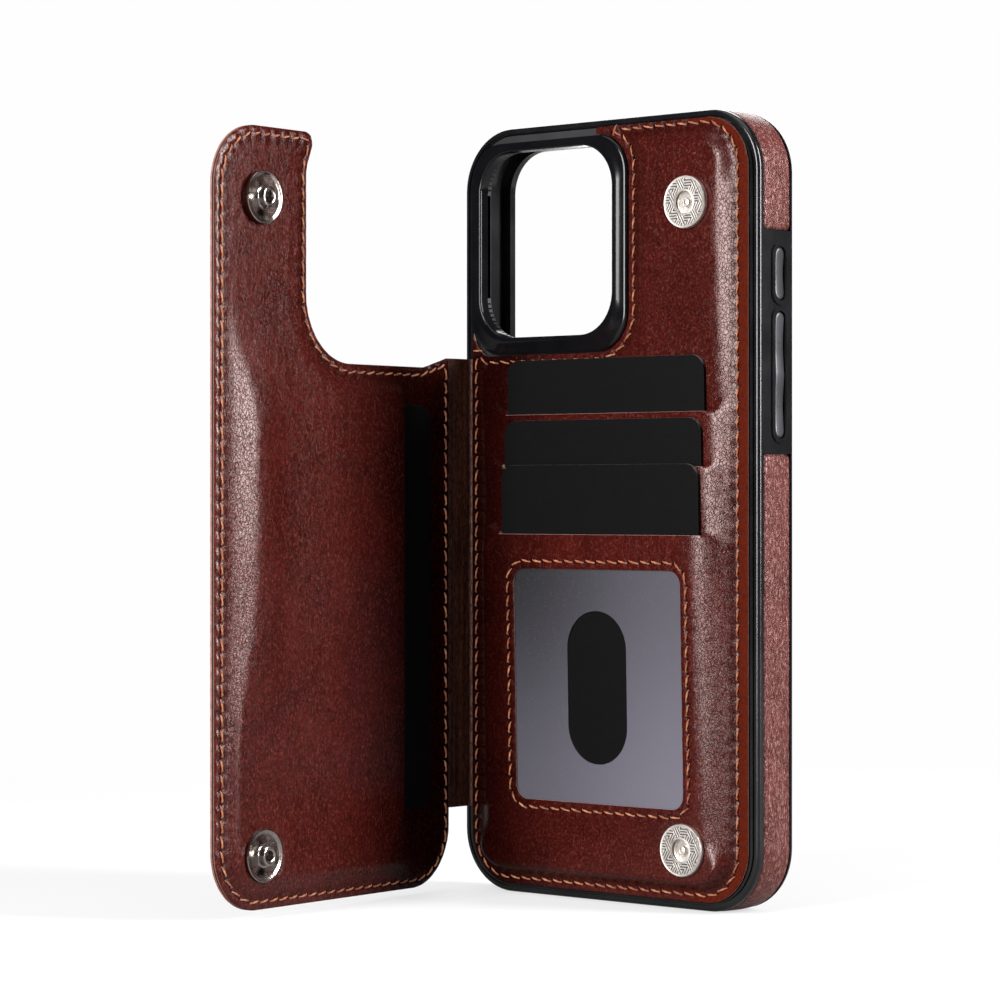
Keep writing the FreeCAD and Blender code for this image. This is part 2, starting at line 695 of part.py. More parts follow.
def flap_pad(left, base_out, top_out, slope, skin, square_left):
    """Raised pad on the flap, inside its stitching."""
    inset = FLAP_PAD_INSET + skin
    base_left = left + (0 if square_left else skin)
    top_left = base_left + (0 if square_left else slope)
    left_corner = 0.5 if square_left else 8.0
    base = pad_corners(base_left, inset, (2.0, 9.0, left_corner, 0.5, 16.0))
    top = pad_corners(top_left, inset + slope, (1.0, 6.0, max(left_corner - 3, 0.4), 0.4, 16.0))
    return pillow(base, base_out, top, top_out)


def flap_card():
    """Card in the flap's slit, sticking out towards the hinge."""
    corners = rectangle(FLAP_CARD_LEFT, FLAP_CARD_LEFT + CARD_WIDTH,
                        FLAP_CARD_LOW, FLAP_CARD_LOW + CARD_LENGTH, CARD_CORNER)
    return slab(corners, FLAP_CARD_OUT, FLAP_CARD_OUT + CARD_THICKNESS)


def flap_card_space():
    low_out = FLAP_CARD_OUT - CARD_GAP
    high_out = FLAP_CARD_OUT + CARD_THICKNESS + CARD_GAP
    return box(FLAP_CARD_LEFT - 12, FLAP_CARD_LEFT + CARD_WIDTH + 0.3, SLIT_LOW, SLIT_HIGH, low_out, high_out)


def flap_pocket_lining():
    """Thin lining behind the flap's card."""
    low_out = FLAP_CARD_OUT + CARD_THICKNESS + CARD_GAP + 0.01
    right = FLAP_CARD_LEFT + CARD_WIDTH + 0.2
    return slab(rectangle(SLIT_X, right, SLIT_LOW + 0.2, SLIT_HIGH - 0.2, 1.0), low_out, low_out + 0.15)


def make_flap_inner(pad, hollow):
    """Inner leather: turned edge all round, a raised pad and a slit for a card."""
    edge_x = CREASE_X + CREASE_BEAD + 0.05
    sheet = slab(flap_corners(0, edge_x), FLAP_INNER_FLANGE_OUT, FLAP_CORE_OUT)
    shelf = box(FLAP_CARD_LEFT - 12, SLIT_X + 0.01, SLIT_LOW, SLIT_HIGH, 0,
                FLAP_CARD_OUT + CARD_THICKNESS + CARD_GAP)
    sheet = sheet.fuse(pad).cut(hollow).cut(shelf)
    sheet = sheet.cut([flap_card_space()] + stud_seats())
    return largest(sheet)


def make_flap_padding(hollow):
    padding = hollow.cut([flap_card_space(), grown_lining_space()] + stud_seats())
    return largest(padding)


def grown_lining_space():
    low_out = FLAP_CARD_OUT + CARD_THICKNESS + CARD_GAP
    right = FLAP_CARD_LEFT + CARD_WIDTH + 0.3
    return box(SLIT_X - 1, right, SLIT_LOW, SLIT_HIGH, low_out, low_out + 0.2)


def make_flap_board():
    corners = flap_corners(0.3, CREASE_X + CREASE_BEAD + 0.15)
    return one_solid(slab(corners, FLAP_CORE_OUT, FLAP_CORE_OUT + FLAP_CORE_THICKNESS))


def make_flap_outer():
    """Outer leather over its own thin foam, and the foam."""
    base_out = FLAP_CORE_OUT + FLAP_CORE_THICKNESS
    sheet = slab(flap_corners(0, FLAP_HINGE_X), base_out, FLAP_OUTER_FLANGE_OUT)
    pad = flap_pad(FLAP_OUTER_PAD_LEFT, base_out, FLAP_OUTER_OUT, FLAP_OUTER_SLOPE, 0, False)
    foam_out = FLAP_OUTER_OUT - FLAP_LEATHER
    foam = flap_pad(FLAP_OUTER_PAD_LEFT, base_out, foam_out, FLAP_OUTER_SLOPE, FLAP_LEATHER, False)
    return one_solid(sheet.fuse(pad).cut(foam)), one_solid(foam)


def make_spine():
    """Leather between the two creases, with a round bead on each crease axis."""
    beads = []
    height = SPINE_HIGH - SPINE_LOW
    for out in (BODY_CREASE_OUT, FLAP_CREASE_OUT):
        beads.append(Part.makeCylinder(CREASE_BEAD, height, point(CREASE_X, SPINE_LOW, out), Z_AXIS))
    half = SPINE_LEATHER / 2
    strip = box(CREASE_X - half, CREASE_X + half, SPINE_LOW, SPINE_HIGH, BODY_CREASE_OUT, FLAP_CREASE_OUT)
    leather = one_solid(strip.fuse(beads).removeSplitter())
    inner_x = CREASE_X + half + 0.02
    lining = box(inner_x, inner_x + SPINE_LINING, SPINE_LOW + 1, SPINE_HIGH - 1,
                 BODY_CREASE_OUT + 0.6, FLAP_CREASE_OUT - 0.6)
    return leather, lining


# ---------------------------------------------------------------- stitching

def stitch_row(corners, out, outwards):
    """Thread stitches, evenly spaced along a rounded outline, lying on the leather."""
    path = outline(corners, out)
    count = int(round(path.Length / STITCH_PITCH))
    places = path.discretize(Number=count + 1)[:count]
    thread = Part.makeBox(STITCH_LENGTH, STITCH_HEIGHT, STITCH_WIDTH,
                          FreeCAD.Vector(-STITCH_LENGTH / 2, 0, -STITCH_WIDTH / 2))
    rise = FreeCAD.Vector(0, -STITCH_HEIGHT - STITCH_LIFT if outwards else STITCH_LIFT, 0)
    stitches = []
    for index in range(count):
        here = places[index]
        step = places[(index + 1) % count] - places[index - 1]
        heading = math.degrees(math.atan2(step.z, step.x))
        stitch = thread.copy()
        stitch.rotate(FreeCAD.Vector(0, 0, 0), FreeCAD.Vector(0, -1, 0), heading + STITCH_SLANT)
        stitch.translate(here + rise)
        stitches.append(stitch)
    return stitches


def panel_stitches():
    return stitch_row(PANEL_STITCHES, FLANGE_OUT, True)


def window_stitches():
    area = grown(WINDOW, WINDOW_STITCH_MARGIN)
    return [tilted(stitch) for stitch in stitch_row(rectangle(**area), tier_out(3), True)]


def flap_stitches():
    """Stitches that show on both faces of the flap."""
    corners = flap_corners(FLAP_STITCH_INSET, FLAP_STITCH_HINGE_X)
    inner = stitch_row(corners, FLAP_INNER_FLANGE_OUT, False)
    outer = stitch_row(corners, FLAP_OUTER_FLANGE_OUT, True)
    return [opened(stitch) for stitch in inner], [opened(stitch) for stitch in outer]


# ---------------------------------------------------------------- build

def build_body():
    save("bumper", make_bumper())
    lower, upper = make_bands()
    save("side_band_lower", lower)
    save("side_band_upper", upper)
    save("back_plate", make_plate())
    save("phone_lining", make_lining())
    save("camera_bezel", make_bezel())
    save("action_key", key(ACTION_KEY, 1))
    save("volume_key", key(VOLUME_KEY, 2))
    save("power_key", left_side(key(POWER_KEY, 1)))


def build_panel():
    volume = panel_volume(0)
    core = panel_volume(LEATHER)
    save("panel_board", make_board())
    save("panel_leather", make_panel_leather(volume, core))
    save("panel_padding", make_panel_padding(core))
    save("pocket_divider_inner", divider(1))
    save("pocket_divider_outer", divider(2))
    save("id_window", window_sheet())
    for number in (1, 2, 3):
        save("card_%d" % number, card(number, 0))
    save("socket_caps", *[socket_cap(z, base) for z, base in zip(SNAP_HEIGHTS, SOCKET_BASES)])
    save("socket_magnets", *[socket_magnet(z, base) for z, base in zip(SNAP_HEIGHTS, SOCKET_BASES)])
    save("socket_bases", *[socket_base(z, base) for z, base in zip(SNAP_HEIGHTS, SOCKET_BASES)])
    save("panel_stitching", *panel_stitches())
    save("window_stitching", *window_stitches())


def build_flap():
    pad = flap_pad(SLIT_X, FLAP_INNER_FLANGE_OUT, FLAP_INNER_OUT, FLAP_INNER_SLOPE, 0, True)
    pad = pad.fuse(flap_pad(SLIT_X, FLAP_CORE_OUT, FLAP_INNER_FLANGE_OUT, 0.01, 0, True))
    pad_front = FLAP_INNER_OUT + FLAP_LEATHER
    hollow = flap_pad(SLIT_X, FLAP_CORE_OUT, pad_front, FLAP_INNER_SLOPE, FLAP_LEATHER, True)
    save("flap_inner_leather", opened(make_flap_inner(pad, hollow)))
    save("flap_padding", opened(make_flap_padding(hollow)))
    save("flap_pocket_lining", opened(flap_pocket_lining()))
    save("flap_board", opened(make_flap_board()))
    leather, foam = make_flap_outer()
    save("flap_outer_leather", opened(leather))
    save("flap_foam", opened(foam))
    save("flap_card", opened(flap_card()))
    save("studs", *[opened(stud(z)) for z in SNAP_HEIGHTS])
    save("stud_washers", *[opened(stud_washer(z)) for z in SNAP_HEIGHTS])
    inner, outer = flap_stitches()
    save("flap_stitching_inner", *inner)
    save("flap_stitching_outer", *outer)


def build_spine():
    leather, lining = make_spine()
    save("spine_leather", leather)
    save("spine_lining", lining)


build_body()
build_panel()
build_flap()
build_spine()
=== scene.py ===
import json
import math

import bpy
import numpy as np
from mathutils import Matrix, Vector, geometry, noise


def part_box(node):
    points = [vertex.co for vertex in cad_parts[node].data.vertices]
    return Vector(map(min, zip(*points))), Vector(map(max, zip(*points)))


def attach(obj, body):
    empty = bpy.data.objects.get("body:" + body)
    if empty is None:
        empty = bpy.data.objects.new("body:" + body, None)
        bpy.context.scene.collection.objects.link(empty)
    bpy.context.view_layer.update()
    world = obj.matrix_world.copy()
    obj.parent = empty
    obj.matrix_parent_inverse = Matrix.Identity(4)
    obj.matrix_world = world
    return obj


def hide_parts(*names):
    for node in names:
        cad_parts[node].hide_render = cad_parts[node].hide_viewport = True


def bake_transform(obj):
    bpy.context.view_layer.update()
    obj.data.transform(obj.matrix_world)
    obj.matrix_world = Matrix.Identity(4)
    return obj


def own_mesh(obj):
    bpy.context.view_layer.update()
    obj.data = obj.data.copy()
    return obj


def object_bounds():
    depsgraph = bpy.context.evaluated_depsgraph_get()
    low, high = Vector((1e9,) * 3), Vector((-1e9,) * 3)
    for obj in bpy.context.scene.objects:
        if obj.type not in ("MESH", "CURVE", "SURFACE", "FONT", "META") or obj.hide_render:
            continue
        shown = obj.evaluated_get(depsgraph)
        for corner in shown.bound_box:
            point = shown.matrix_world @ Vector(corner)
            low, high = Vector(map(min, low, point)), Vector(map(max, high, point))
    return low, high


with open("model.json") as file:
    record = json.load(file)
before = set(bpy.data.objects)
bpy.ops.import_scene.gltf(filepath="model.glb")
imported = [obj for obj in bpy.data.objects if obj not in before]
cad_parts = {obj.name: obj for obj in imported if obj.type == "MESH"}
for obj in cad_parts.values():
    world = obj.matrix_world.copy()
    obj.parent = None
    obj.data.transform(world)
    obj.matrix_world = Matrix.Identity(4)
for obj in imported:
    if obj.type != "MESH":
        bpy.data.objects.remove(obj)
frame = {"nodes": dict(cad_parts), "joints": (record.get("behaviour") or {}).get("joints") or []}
cad_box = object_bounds()

# The looks of a wallet case for a phone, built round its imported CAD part.  Lengths are in mm until a
# "place" function turns them into metres.  Flat coordinates are x across, z above the middle of the
# case, and "out" from the rear rim towards the wallet side, as in the CAD part.
MM = 0.001


def box_mm(node):
    low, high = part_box(node)
    return low / MM, high / MM


# Places taken from the frame
case_low, case_high = box_mm("bumper")
caps_low, caps_high = box_mm("socket_caps")
bezel_low, bezel_high = box_mm("camera_bezel")
panel_low, panel_high = box_mm("panel_board")
joints = {joint["name"]: joint for joint in frame["joints"]}
body_crease = Vector(joints["spine_fold"]["pos_m"]) / MM
flap_crease = Vector(joints["flap_fold"]["pos_m"]) / MM
card_way = Vector(joints["card_1_slide"]["axis"])
RIM_Y = case_low.y
MIDDLE_Z = (case_low.z + case_high.z) / 2
CASE_DEPTH = case_high.y - case_low.y
HALF_WIDTH = 40.5
HALF_HEIGHT = (case_high.z - case_low.z) / 2
CASE_CORNER = 13.0
TILT = -card_way.y / card_way.z
CREASE_X = flap_crease.x
FLAP_CREASE_OUT = RIM_Y - flap_crease.y
FLAP_REST = math.radians(-joints["flap_fold"]["range_deg"][0])
SOCKET_RADIUS = 5.4
SNAP_X = caps_low.x + SOCKET_RADIUS
SNAP_HEIGHTS = (caps_high.z - SOCKET_RADIUS - MIDDLE_Z, caps_low.z + SOCKET_RADIUS - MIDDLE_Z)

# Sizes of the wallet panel
PANEL_LEFT = panel_low.x
PANEL_RIGHT = panel_high.x
PANEL_LOW = panel_low.z - MIDDLE_Z
PANEL_HIGH = panel_high.z - MIDDLE_Z
PANEL_CORNER = 10.9
BEZEL = (bezel_low.x, bezel_high.x, bezel_low.z - MIDDLE_Z, bezel_high.z - MIDDLE_Z, 8.3)
LENS_OPENING = (-34.6, 2.6, 36.9, 76.6, 8.8)
FLANGE_OUT = 0.5
BOARD_FRONT_OUT = -0.3
LEATHER = 0.38
SNAP_PLATEAU_OUT = 2.3
UNDER_CARD_OUT = 1.55
TIER_OUTS = (2.81, 4.03, 5.60)
LIPS = (20.2, 8.9, -5.1)
SLOT_HEIGHT = 0.4
LIP_CORNER = 0.15
POCKET_LEFT = -26.2
POCKET_RIGHT = 28.7
WINDOW = (-22.0, 23.8, -61.2, -12.3, 3.0)
WINDOW_STITCH_MARGIN = 1.6
SOCKET_BASES = (2.25, 3.45)
PAD_MARGIN = 0.9
CAMERA_GAP = 0.2
PANEL_TIP_X = -2.6
PANEL_EAR_Z = 38.0

# Sizes of the flap, in its closed place
FLAP_FREE_X = 37.0
FLAP_INNER_EDGE_X = CREASE_X + 0.5
FLAP_OUTER_EDGE_X = CREASE_X - 0.7
FLAP_LOW = -80.2
FLAP_HIGH = 77.4
FLAP_INNER_OUT = 6.2
FLAP_OUTER_OUT = 8.0
FLAP_CORE_OUTS = (7.0, 7.5)
SLIT_X = -21.6
SLIT_LOW = -64.2
SLIT_HIGH = 23.3
FLAP_POCKET_END = 23.1
SHELF_DEPTH = 0.36
INNER_PAD = 0.95
OUTER_PAD = 0.5

SPINE_LOW = -64.0
SPINE_HIGH = 32.6
SPINE_BEND = (0.4, 2.3)

# Sizes of the side bands, the openings through them and the keys
BAND_OUTS = (-10.36, -1.54)
BAND_CROWN = 0.16
BAND_BACK = -0.66
RIGHT_KEY_ZONE = (11.5, 56.8)
LEFT_KEY_ZONE = (11.4, 36.7)
PORT = (0, 13.0, 5.6)
SPEAKERS = ((-19.5, 14.0, 2.6), (19.5, 14.0, 2.6))
KEY_WIDTH = 3.4
KEY_FLANGE = 0.55
KEY_DISH = 0.35

# Sizes of the snaps, depth of the engraving, length of a stitch with its gap, and mesh spacing
SOCKET_HEIGHT = 1.2
STUD_FACE_OUT = 4.69
STUD_RIM = 0.7
STUD_POST = 1.3
ENGRAVING = 0.035
STITCH_PITCH = 3.0
GRID = 0.65
PAD_GRID = 1.5


# ---------------------------------------------------------------- numbers

def smooth(value):
    """Ease from 0 to 1."""
    t = np.clip(value, 0.0, 1.0)
    return t * t * (3 - 2 * t)


def bell(value, width):
    """1 at nothing, falling away on both sides."""
    return np.exp(-(value / width) ** 2)


def mix(a, b, share):
    return a + (b - a) * share


def rough(points, size, seed, octaves=3, stretch=1.0):
    """Smooth random field over flat points.  Features have the given size, longer upwards by stretch."""
    return np.array([noise.fractal(Vector((x / size, z / (size * stretch), seed)), 1.0, 2.0, octaves)
                     for x, z in points])


def unit(vector):
    return vector / np.linalg.norm(vector)


# ---------------------------------------------------------------- outlines in the plane

def area(left, right, low, high, corner, grow=0.0):
    """Corners of a rounded rectangle, enlarged by grow."""
    r = corner + grow
    return [(left - grow, low - grow, r), (right + grow, low - grow, r),
            (right + grow, high + grow, r), (left - grow, high + grow, r)]


def bar(middle_x, middle_z, length, height, upright=False):
    """Corners of a bar with round ends."""
    r = height / 2 - 0.001
    half_x, half_z = (height / 2, length / 2) if upright else (length / 2, height / 2)
    return area(middle_x - half_x, middle_x + half_x, middle_z - half_z, middle_z + half_z, r)


def rounded(corners, arc_step=0.6, arc_steps=None):
    """Points round a closed outline of (x, z, radius) corners."""
    points = []
    count = len(corners)
    for index, (x, z, radius) in enumerate(corners):
        here = np.array((x, z))
        back = unit(np.array(corners[index - 1][:2]) - here)
        ahead = unit(np.array(corners[(index + 1) % count][:2]) - here)
        half = math.acos(np.clip(back @ ahead, -1, 1)) / 2
        middle_way = unit(back + ahead)
        centre = here + middle_way * radius / math.sin(half)
        start = here + back * radius / math.tan(half) - centre
        end = here + ahead * radius / math.tan(half) - centre
        begin = math.atan2(start[1], start[0])
        sweep = math.remainder(math.atan2(end[1], end[0]) - begin, 2 * math.pi)
        steps = arc_steps or max(2, math.ceil(abs(sweep) * radius / arc_step))
        for step in range(steps + 1):
            angle = begin + sweep * step / steps
            points.append(centre + radius * np.array((math.cos(angle), math.sin(angle))))
    return np.array(points)


def loop_lengths(loop):
    """Distance along a closed loop to each of its points, and back to the first."""
    steps = np.linalg.norm(np.roll(loop, -1, 0) - loop, axis=1)
    return np.concatenate(((0.0,), np.cumsum(steps)))


def evenly(loop, count, shift=0.0):
    """Points at even distances round a closed loop.  shift is a share of one distance."""
    along = loop_lengths(loop)
    closed = np.vstack((loop, loop[:1]))
    wanted = (np.arange(count) + shift) / count * along[-1]
    return np.column_stack([np.interp(wanted, along, closed[:, axis]) for axis in (0, 1)])


def spaced(corners, spacing=GRID):
    """Closed outline cut into steps of about the given spacing, for the edge of a sheet."""
    loop = rounded(corners)
    pieces = []
    for index, start in enumerate(loop):
        end = loop[(index + 1) % len(loop)]
        steps = max(1, int(round(np.linalg.norm(end - start) / spacing)))
        if np.linalg.norm(end - start) > 1e-6:
            pieces += [mix(start, end, step / steps) for step in range(steps)]
    return np.array(pieces)


def depth_in(points, loop):
    """How far inside a loop each point is, less than nothing when outside, and how far along it."""
    nearest = np.full(len(points), np.inf)
    along = np.zeros(len(points))
    inside = np.zeros(len(points), bool)
    starts = loop_lengths(loop)
    px, pz = points[:, 0], points[:, 1]
    for index, a in enumerate(loop):
        b = loop[(index + 1) % len(loop)]
        way = b - a
        length_squared = way @ way
        if length_squared < 1e-12:
            continue
        t = np.clip(((points - a) @ way) / length_squared, 0, 1)
        gap = np.hypot(px - a[0] - t * way[0], pz - a[1] - t * way[1])
        closer = gap < nearest
        nearest[closer] = gap[closer]
        along[closer] = (starts[index] + t * math.sqrt(length_squared))[closer]
        if a[1] != b[1]:
            inside ^= ((a[1] > pz) != (b[1] > pz)) & (px < way[0] * (pz - a[1]) / way[1] + a[0])
    return np.where(inside, nearest, -nearest), along


class Seam:
    """A closed row of stitches: where they are, and how they pull the leather."""

    def __init__(self, corners):
        self.loop = rounded(corners)
        self.length = loop_lengths(self.loop)[-1]
        self.count = int(round(self.length / STITCH_PITCH))

    def rows(self):
        """Extra points either side of the row, so that the pulled leather has enough detail."""
        middle = evenly(self.loop, self.count * 6)
        way = np.roll(middle, -1, 0) - np.roll(middle, 1, 0)
        side = np.column_stack((-way[:, 1], way[:, 0])) / np.linalg.norm(way, axis=1)[:, None]
        return np.vstack([middle + side * offset for offset in (-0.45, 0.0, 0.45)])

    def pull(self, depth, along):
        """Groove under the thread, deepest at the needle holes, with ripples towards the edge."""
        wave = np.cos(2 * math.pi * along * self.count / self.length)
        groove = -bell(depth, 0.55) * (0.13 - 0.1 * wave)
        ripple = bell(depth + 1.0, 0.7) * 0.06 * wave + bell(depth - 1.0, 0.8) * 0.04 * wave
        return groove + ripple

    def holes(self, depth, along):
        """1 in the needle holes and nothing elsewhere."""
        wave = np.cos(2 * math.pi * along * self.count / self.length)
        return bell(depth, 0.3) * smooth((-wave - 0.55) / 0.4)


# ---------------------------------------------------------------- meshes

def fill(outer, holes=(), spacing=GRID, seams=()):
    """Triangles over an outline, as (points, triangles)."""
    low = outer.min(0)
    high = outer.max(0)
    rows = []
    for number, z in enumerate(np.arange(low[1], high[1], spacing * 0.87)):
        x = np.arange(low[0] + (number % 2) * spacing / 2, high[0], spacing)
        rows.append(np.column_stack((x, np.full(len(x), z))))
    inner = np.vstack(rows)
    for seam in seams:
        inner = inner[np.abs(depth_in(inner, seam.loop)[0]) > 0.75]
    inner = np.vstack([inner] + [seam.rows() for seam in seams])
    keep = depth_in(inner, outer)[0] > spacing * 0.45
    for hole in holes:
        keep &= depth_in(inner, hole)[0] < -spacing * 0.45
    points = []
    edges = []
    for loop in (outer, *holes):
        first = len(points)
        points += loop.tolist()
        edges += [(first + i, first + (i + 1) % len(loop)) for i in range(len(loop))]
    points += inner[keep].tolist()
    made = geometry.delaunay_2d_cdt([Vector(p) for p in points], edges, [], 0, 1e-5)
    points = np.array([tuple(v) for v in made[0]])
    triangles = np.array(made[2])
    centres = points[triangles].mean(1)
    keep = depth_in(centres, outer)[0] > 0
    for hole in holes:
        keep &= depth_in(centres, hole)[0] < 0
    triangles = triangles[keep]
    used, renumbered = np.unique(triangles, return_inverse=True)
    return points[used], renumbered.reshape(-1, 3)


def vertex_normals(vertices, triangles):
    a, b, c = (vertices[triangles[:, k]] for k in range(3))
    face = np.cross(b - a, c - a)
    total = np.zeros_like(vertices)
    for k in range(3):
        np.add.at(total, triangles[:, k], face)
    return total / np.maximum(np.linalg.norm(total, axis=1), 1e-20)[:, None]


def new_object(name, vertices, faces, materials, sharp=60):
    mesh = bpy.data.meshes.new(name)
    mesh.from_pydata(vertices.tolist() if hasattr(vertices, "tolist") else vertices, [], faces)
    for material in materials:
        mesh.materials.append(material)
    mesh.shade_smooth()
    if sharp:
        mesh.set_sharp_from_angle(angle=math.radians(sharp))
    made = bpy.data.objects.new(name, mesh)
    bpy.context.scene.collection.objects.link(made)
    return made


def settle(piece, body, slot, *nodes):
    """Let a piece ride on a body in place of CAD nodes."""
    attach(piece, body)
    if nodes:
        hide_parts(*nodes)


def closed_sheet(name, place, flat, front, thickness, materials, flip=False, back=None, bulge=0.06,
                 marks=None):
    """Sheet with a shaped front, a back and a slightly rounded edge.  marks are values for materials."""
    points, triangles = flat
    if flip:
        triangles = triangles[:, ::-1]
    top = place(points, front)
    normals = vertex_normals(top, triangles)
    bottom = top - normals * thickness * MM if back is None else place(points, back)
    count = len(top)
    edges = np.vstack([triangles[:, (k, (k + 1) % 3)] for k in range(3)])
    border = edges[~np.isin(edges[:, 0] * count + edges[:, 1], edges[:, 1] * count + edges[:, 0])]
    outward = np.zeros_like(top)
    across = np.cross(top[border[:, 1]] - top[border[:, 0]], normals[border[:, 0]])
    np.add.at(outward, border[:, 0], across)
    np.add.at(outward, border[:, 1], across)
    rim = np.unique(border)
    outward = outward[rim] / np.maximum(np.linalg.norm(outward[rim], axis=1), 1e-20)[:, None]
    middle = (top[rim] + bottom[rim]) / 2 + outward * bulge * MM
    middle_number = np.zeros(count, int)
    middle_number[rim] = 2 * count + np.arange(len(rim))
    a, b = border.T
    walls = np.vstack((np.column_stack((b, a, middle_number[a], middle_number[b])),
                       np.column_stack((middle_number[b], middle_number[a], a + count, b + count))))
    faces = triangles.tolist() + (triangles[:, ::-1] + count).tolist() + walls.tolist()
    made = new_object(name, np.vstack((top, bottom, middle)), faces, materials)
    if len(materials) > 1:
        numbers = np.zeros(len(faces), np.int32)
        numbers[2 * len(triangles):] = 1
        made.data.polygons.foreach_set("material_index", numbers)
    for mark, values in (marks or {}).items():
        attribute = made.data.attributes.new(mark, "FLOAT", "POINT")
        values = np.concatenate((values, values, values[rim])).astype(np.float32)
        attribute.data.foreach_set("value", values)
    return made


def lathe(name, place, x, z, profile, materials, height=None, segments=72, flip=False):
    """Solid of revolution about an axis pointing out.  profile is a closed list of (radius, out).

    What height takes away from the surface is also left on the mesh, as a mark for the material.
    """
    radii = np.array([p[0] for p in profile])
    outs = np.array([p[1] for p in profile])
    turn = np.arange(segments) * 2 * math.pi / segments
    r, angle = np.meshgrid(radii, turn, indexing="ij")
    points = np.column_stack(((x + r * np.cos(angle)).ravel(), (z + r * np.sin(angle)).ravel()))
    out = np.repeat(outs, segments)
    change = height(points - np.array((x, z)), out) if height else np.zeros(len(out))
    faces = ring_faces(len(profile), segments, flip)
    made = new_object(name, place(points, out + change), faces, materials, 40)
    mark = made.data.attributes.new("hollow", "FLOAT", "POINT")
    mark.data.foreach_set("value", np.clip(-change / ENGRAVING, 0, 1).astype(np.float32))
    return made


def ring_faces(rings, segments, flip=False):
    """Faces of a closed ring of rings."""
    faces = []
    for ring in range(rings):
        after = (ring + 1) % rings
        for step in range(segments):
            beside = (step + 1) % segments
            face = [ring * segments + step, ring * segments + beside, after * segments + beside,
                    after * segments + step]
            faces.append(face[::-1] if flip else face)
    return faces


# ---------------------------------------------------------------- places on the case and the flap

def on_case(points, out):
    """Flat points to the row frame, in metres."""
    return np.column_stack((points[:, 0], RIM_Y - out, MIDDLE_Z + points[:, 1])) * MM


def turn_flat(vertices, centre_x, centre_out, angle):
    """Turn about an upright line given by x and out."""
    moved = vertices.copy()
    x = vertices[:, 0] - centre_x * MM
    y = vertices[:, 1] - (RIM_Y - centre_out) * MM
    moved[:, 0] = centre_x * MM + x * math.cos(angle) - y * math.sin(angle)
    moved[:, 1] = (RIM_Y - centre_out) * MM + x * math.sin(angle) + y * math.cos(angle)
    return moved


def on_flap(points, out):
    """Flat points of the closed flap to where they are at rest."""
    return turn_flat(on_case(points, out), CREASE_X, FLAP_CREASE_OUT, -FLAP_REST)


# ---------------------------------------------------------------- materials

def node(material, kind, inputs=None, **settings):
    """New shader node.  inputs may hold numbers or other nodes' outputs."""
    made = material.node_tree.nodes.new(kind)
    for key, value in settings.items():
        setattr(made, key, value)
    for key, value in (inputs or {}).items():
        if isinstance(value, bpy.types.NodeSocket):
            material.node_tree.links.new(value, made.inputs[key])
        else:
            made.inputs[key].default_value = value
    return made


def math_node(material, operation, a, b=0.0):
    return node(material, "ShaderNodeMath", {0: a, 1: b}, operation=operation).outputs[0]


def plus(material, a, b):
    return math_node(material, "ADD", a, b)


def times(material, a, b):
    return math_node(material, "MULTIPLY", a, b)


def minus(material, a, b):
    return math_node(material, "SUBTRACT", a, b)


def ease(material, value, low, high):
    """Value mapped smoothly from low..high to 0..1."""
    made = node(material, "ShaderNodeMapRange", {"Value": value, "From Min": low, "From Max": high},
                interpolation_type="SMOOTHSTEP")
    return made.outputs["Result"]


def blend_colour(material, share, a, b, kind="MIX"):
    made = node(material, "ShaderNodeMix", {0: share}, data_type="RGBA", blend_type=kind)
    for socket, value in ((made.inputs[6], a), (made.inputs[7], b)):
        if isinstance(value, bpy.types.NodeSocket):
            material.node_tree.links.new(value, socket)
        else:
            socket.default_value = (*value, 1.0)
    return made.outputs[2]


def millimetres(material, scale=(1, 1, 1)):
    """Object coordinates in mm."""
    coordinates = node(material, "ShaderNodeTexCoord").outputs["Object"]
    scales = tuple(s / MM for s in scale)
    return node(material, "ShaderNodeMapping", {"Vector": coordinates, "Scale": scales}).outputs[0]


def noise_node(material, vector, scale, detail=2.0, roughness=0.5, distortion=0.0):
    made = node(material, "ShaderNodeTexNoise", {"Vector": vector, "Scale": scale, "Detail": detail,
                                                 "Roughness": roughness, "Distortion": distortion})
    return made.outputs["Fac"]


def mark_node(material, name):
    return node(material, "ShaderNodeAttribute", attribute_name=name).outputs["Fac"]


def bump(material, height, strength, distance_mm, normal=None):
    inputs = {"Height": height, "Strength": strength, "Distance": distance_mm * MM}
    if normal is not None:
        inputs["Normal"] = normal
    return node(material, "ShaderNodeBump", inputs).outputs[0]


def new_material(name, **values):
    """Material with one Principled shader, whose plain values are given by name."""
    material = bpy.data.materials.new(name)
    material.use_nodes = True
    shader = material.node_tree.nodes["Principled BSDF"]
    for key, value in values.items():
        shader.inputs[key.replace("_", " ")].default_value = value
    return material, shader


def connect(material, shader, **values):
    for key, value in values.items():
        material.node_tree.links.new(value, shader.inputs[key.replace("_", " ")])


def crease_lines(material, vector, scale, width):
    """0 along the edges of a net of cells and 1 inside them."""
    cells = node(material, "ShaderNodeTexVoronoi", {"Vector": vector, "Scale": scale},
                 feature="DISTANCE_TO_EDGE")
    return ease(material, cells.outputs["Distance"], 0.0, width)


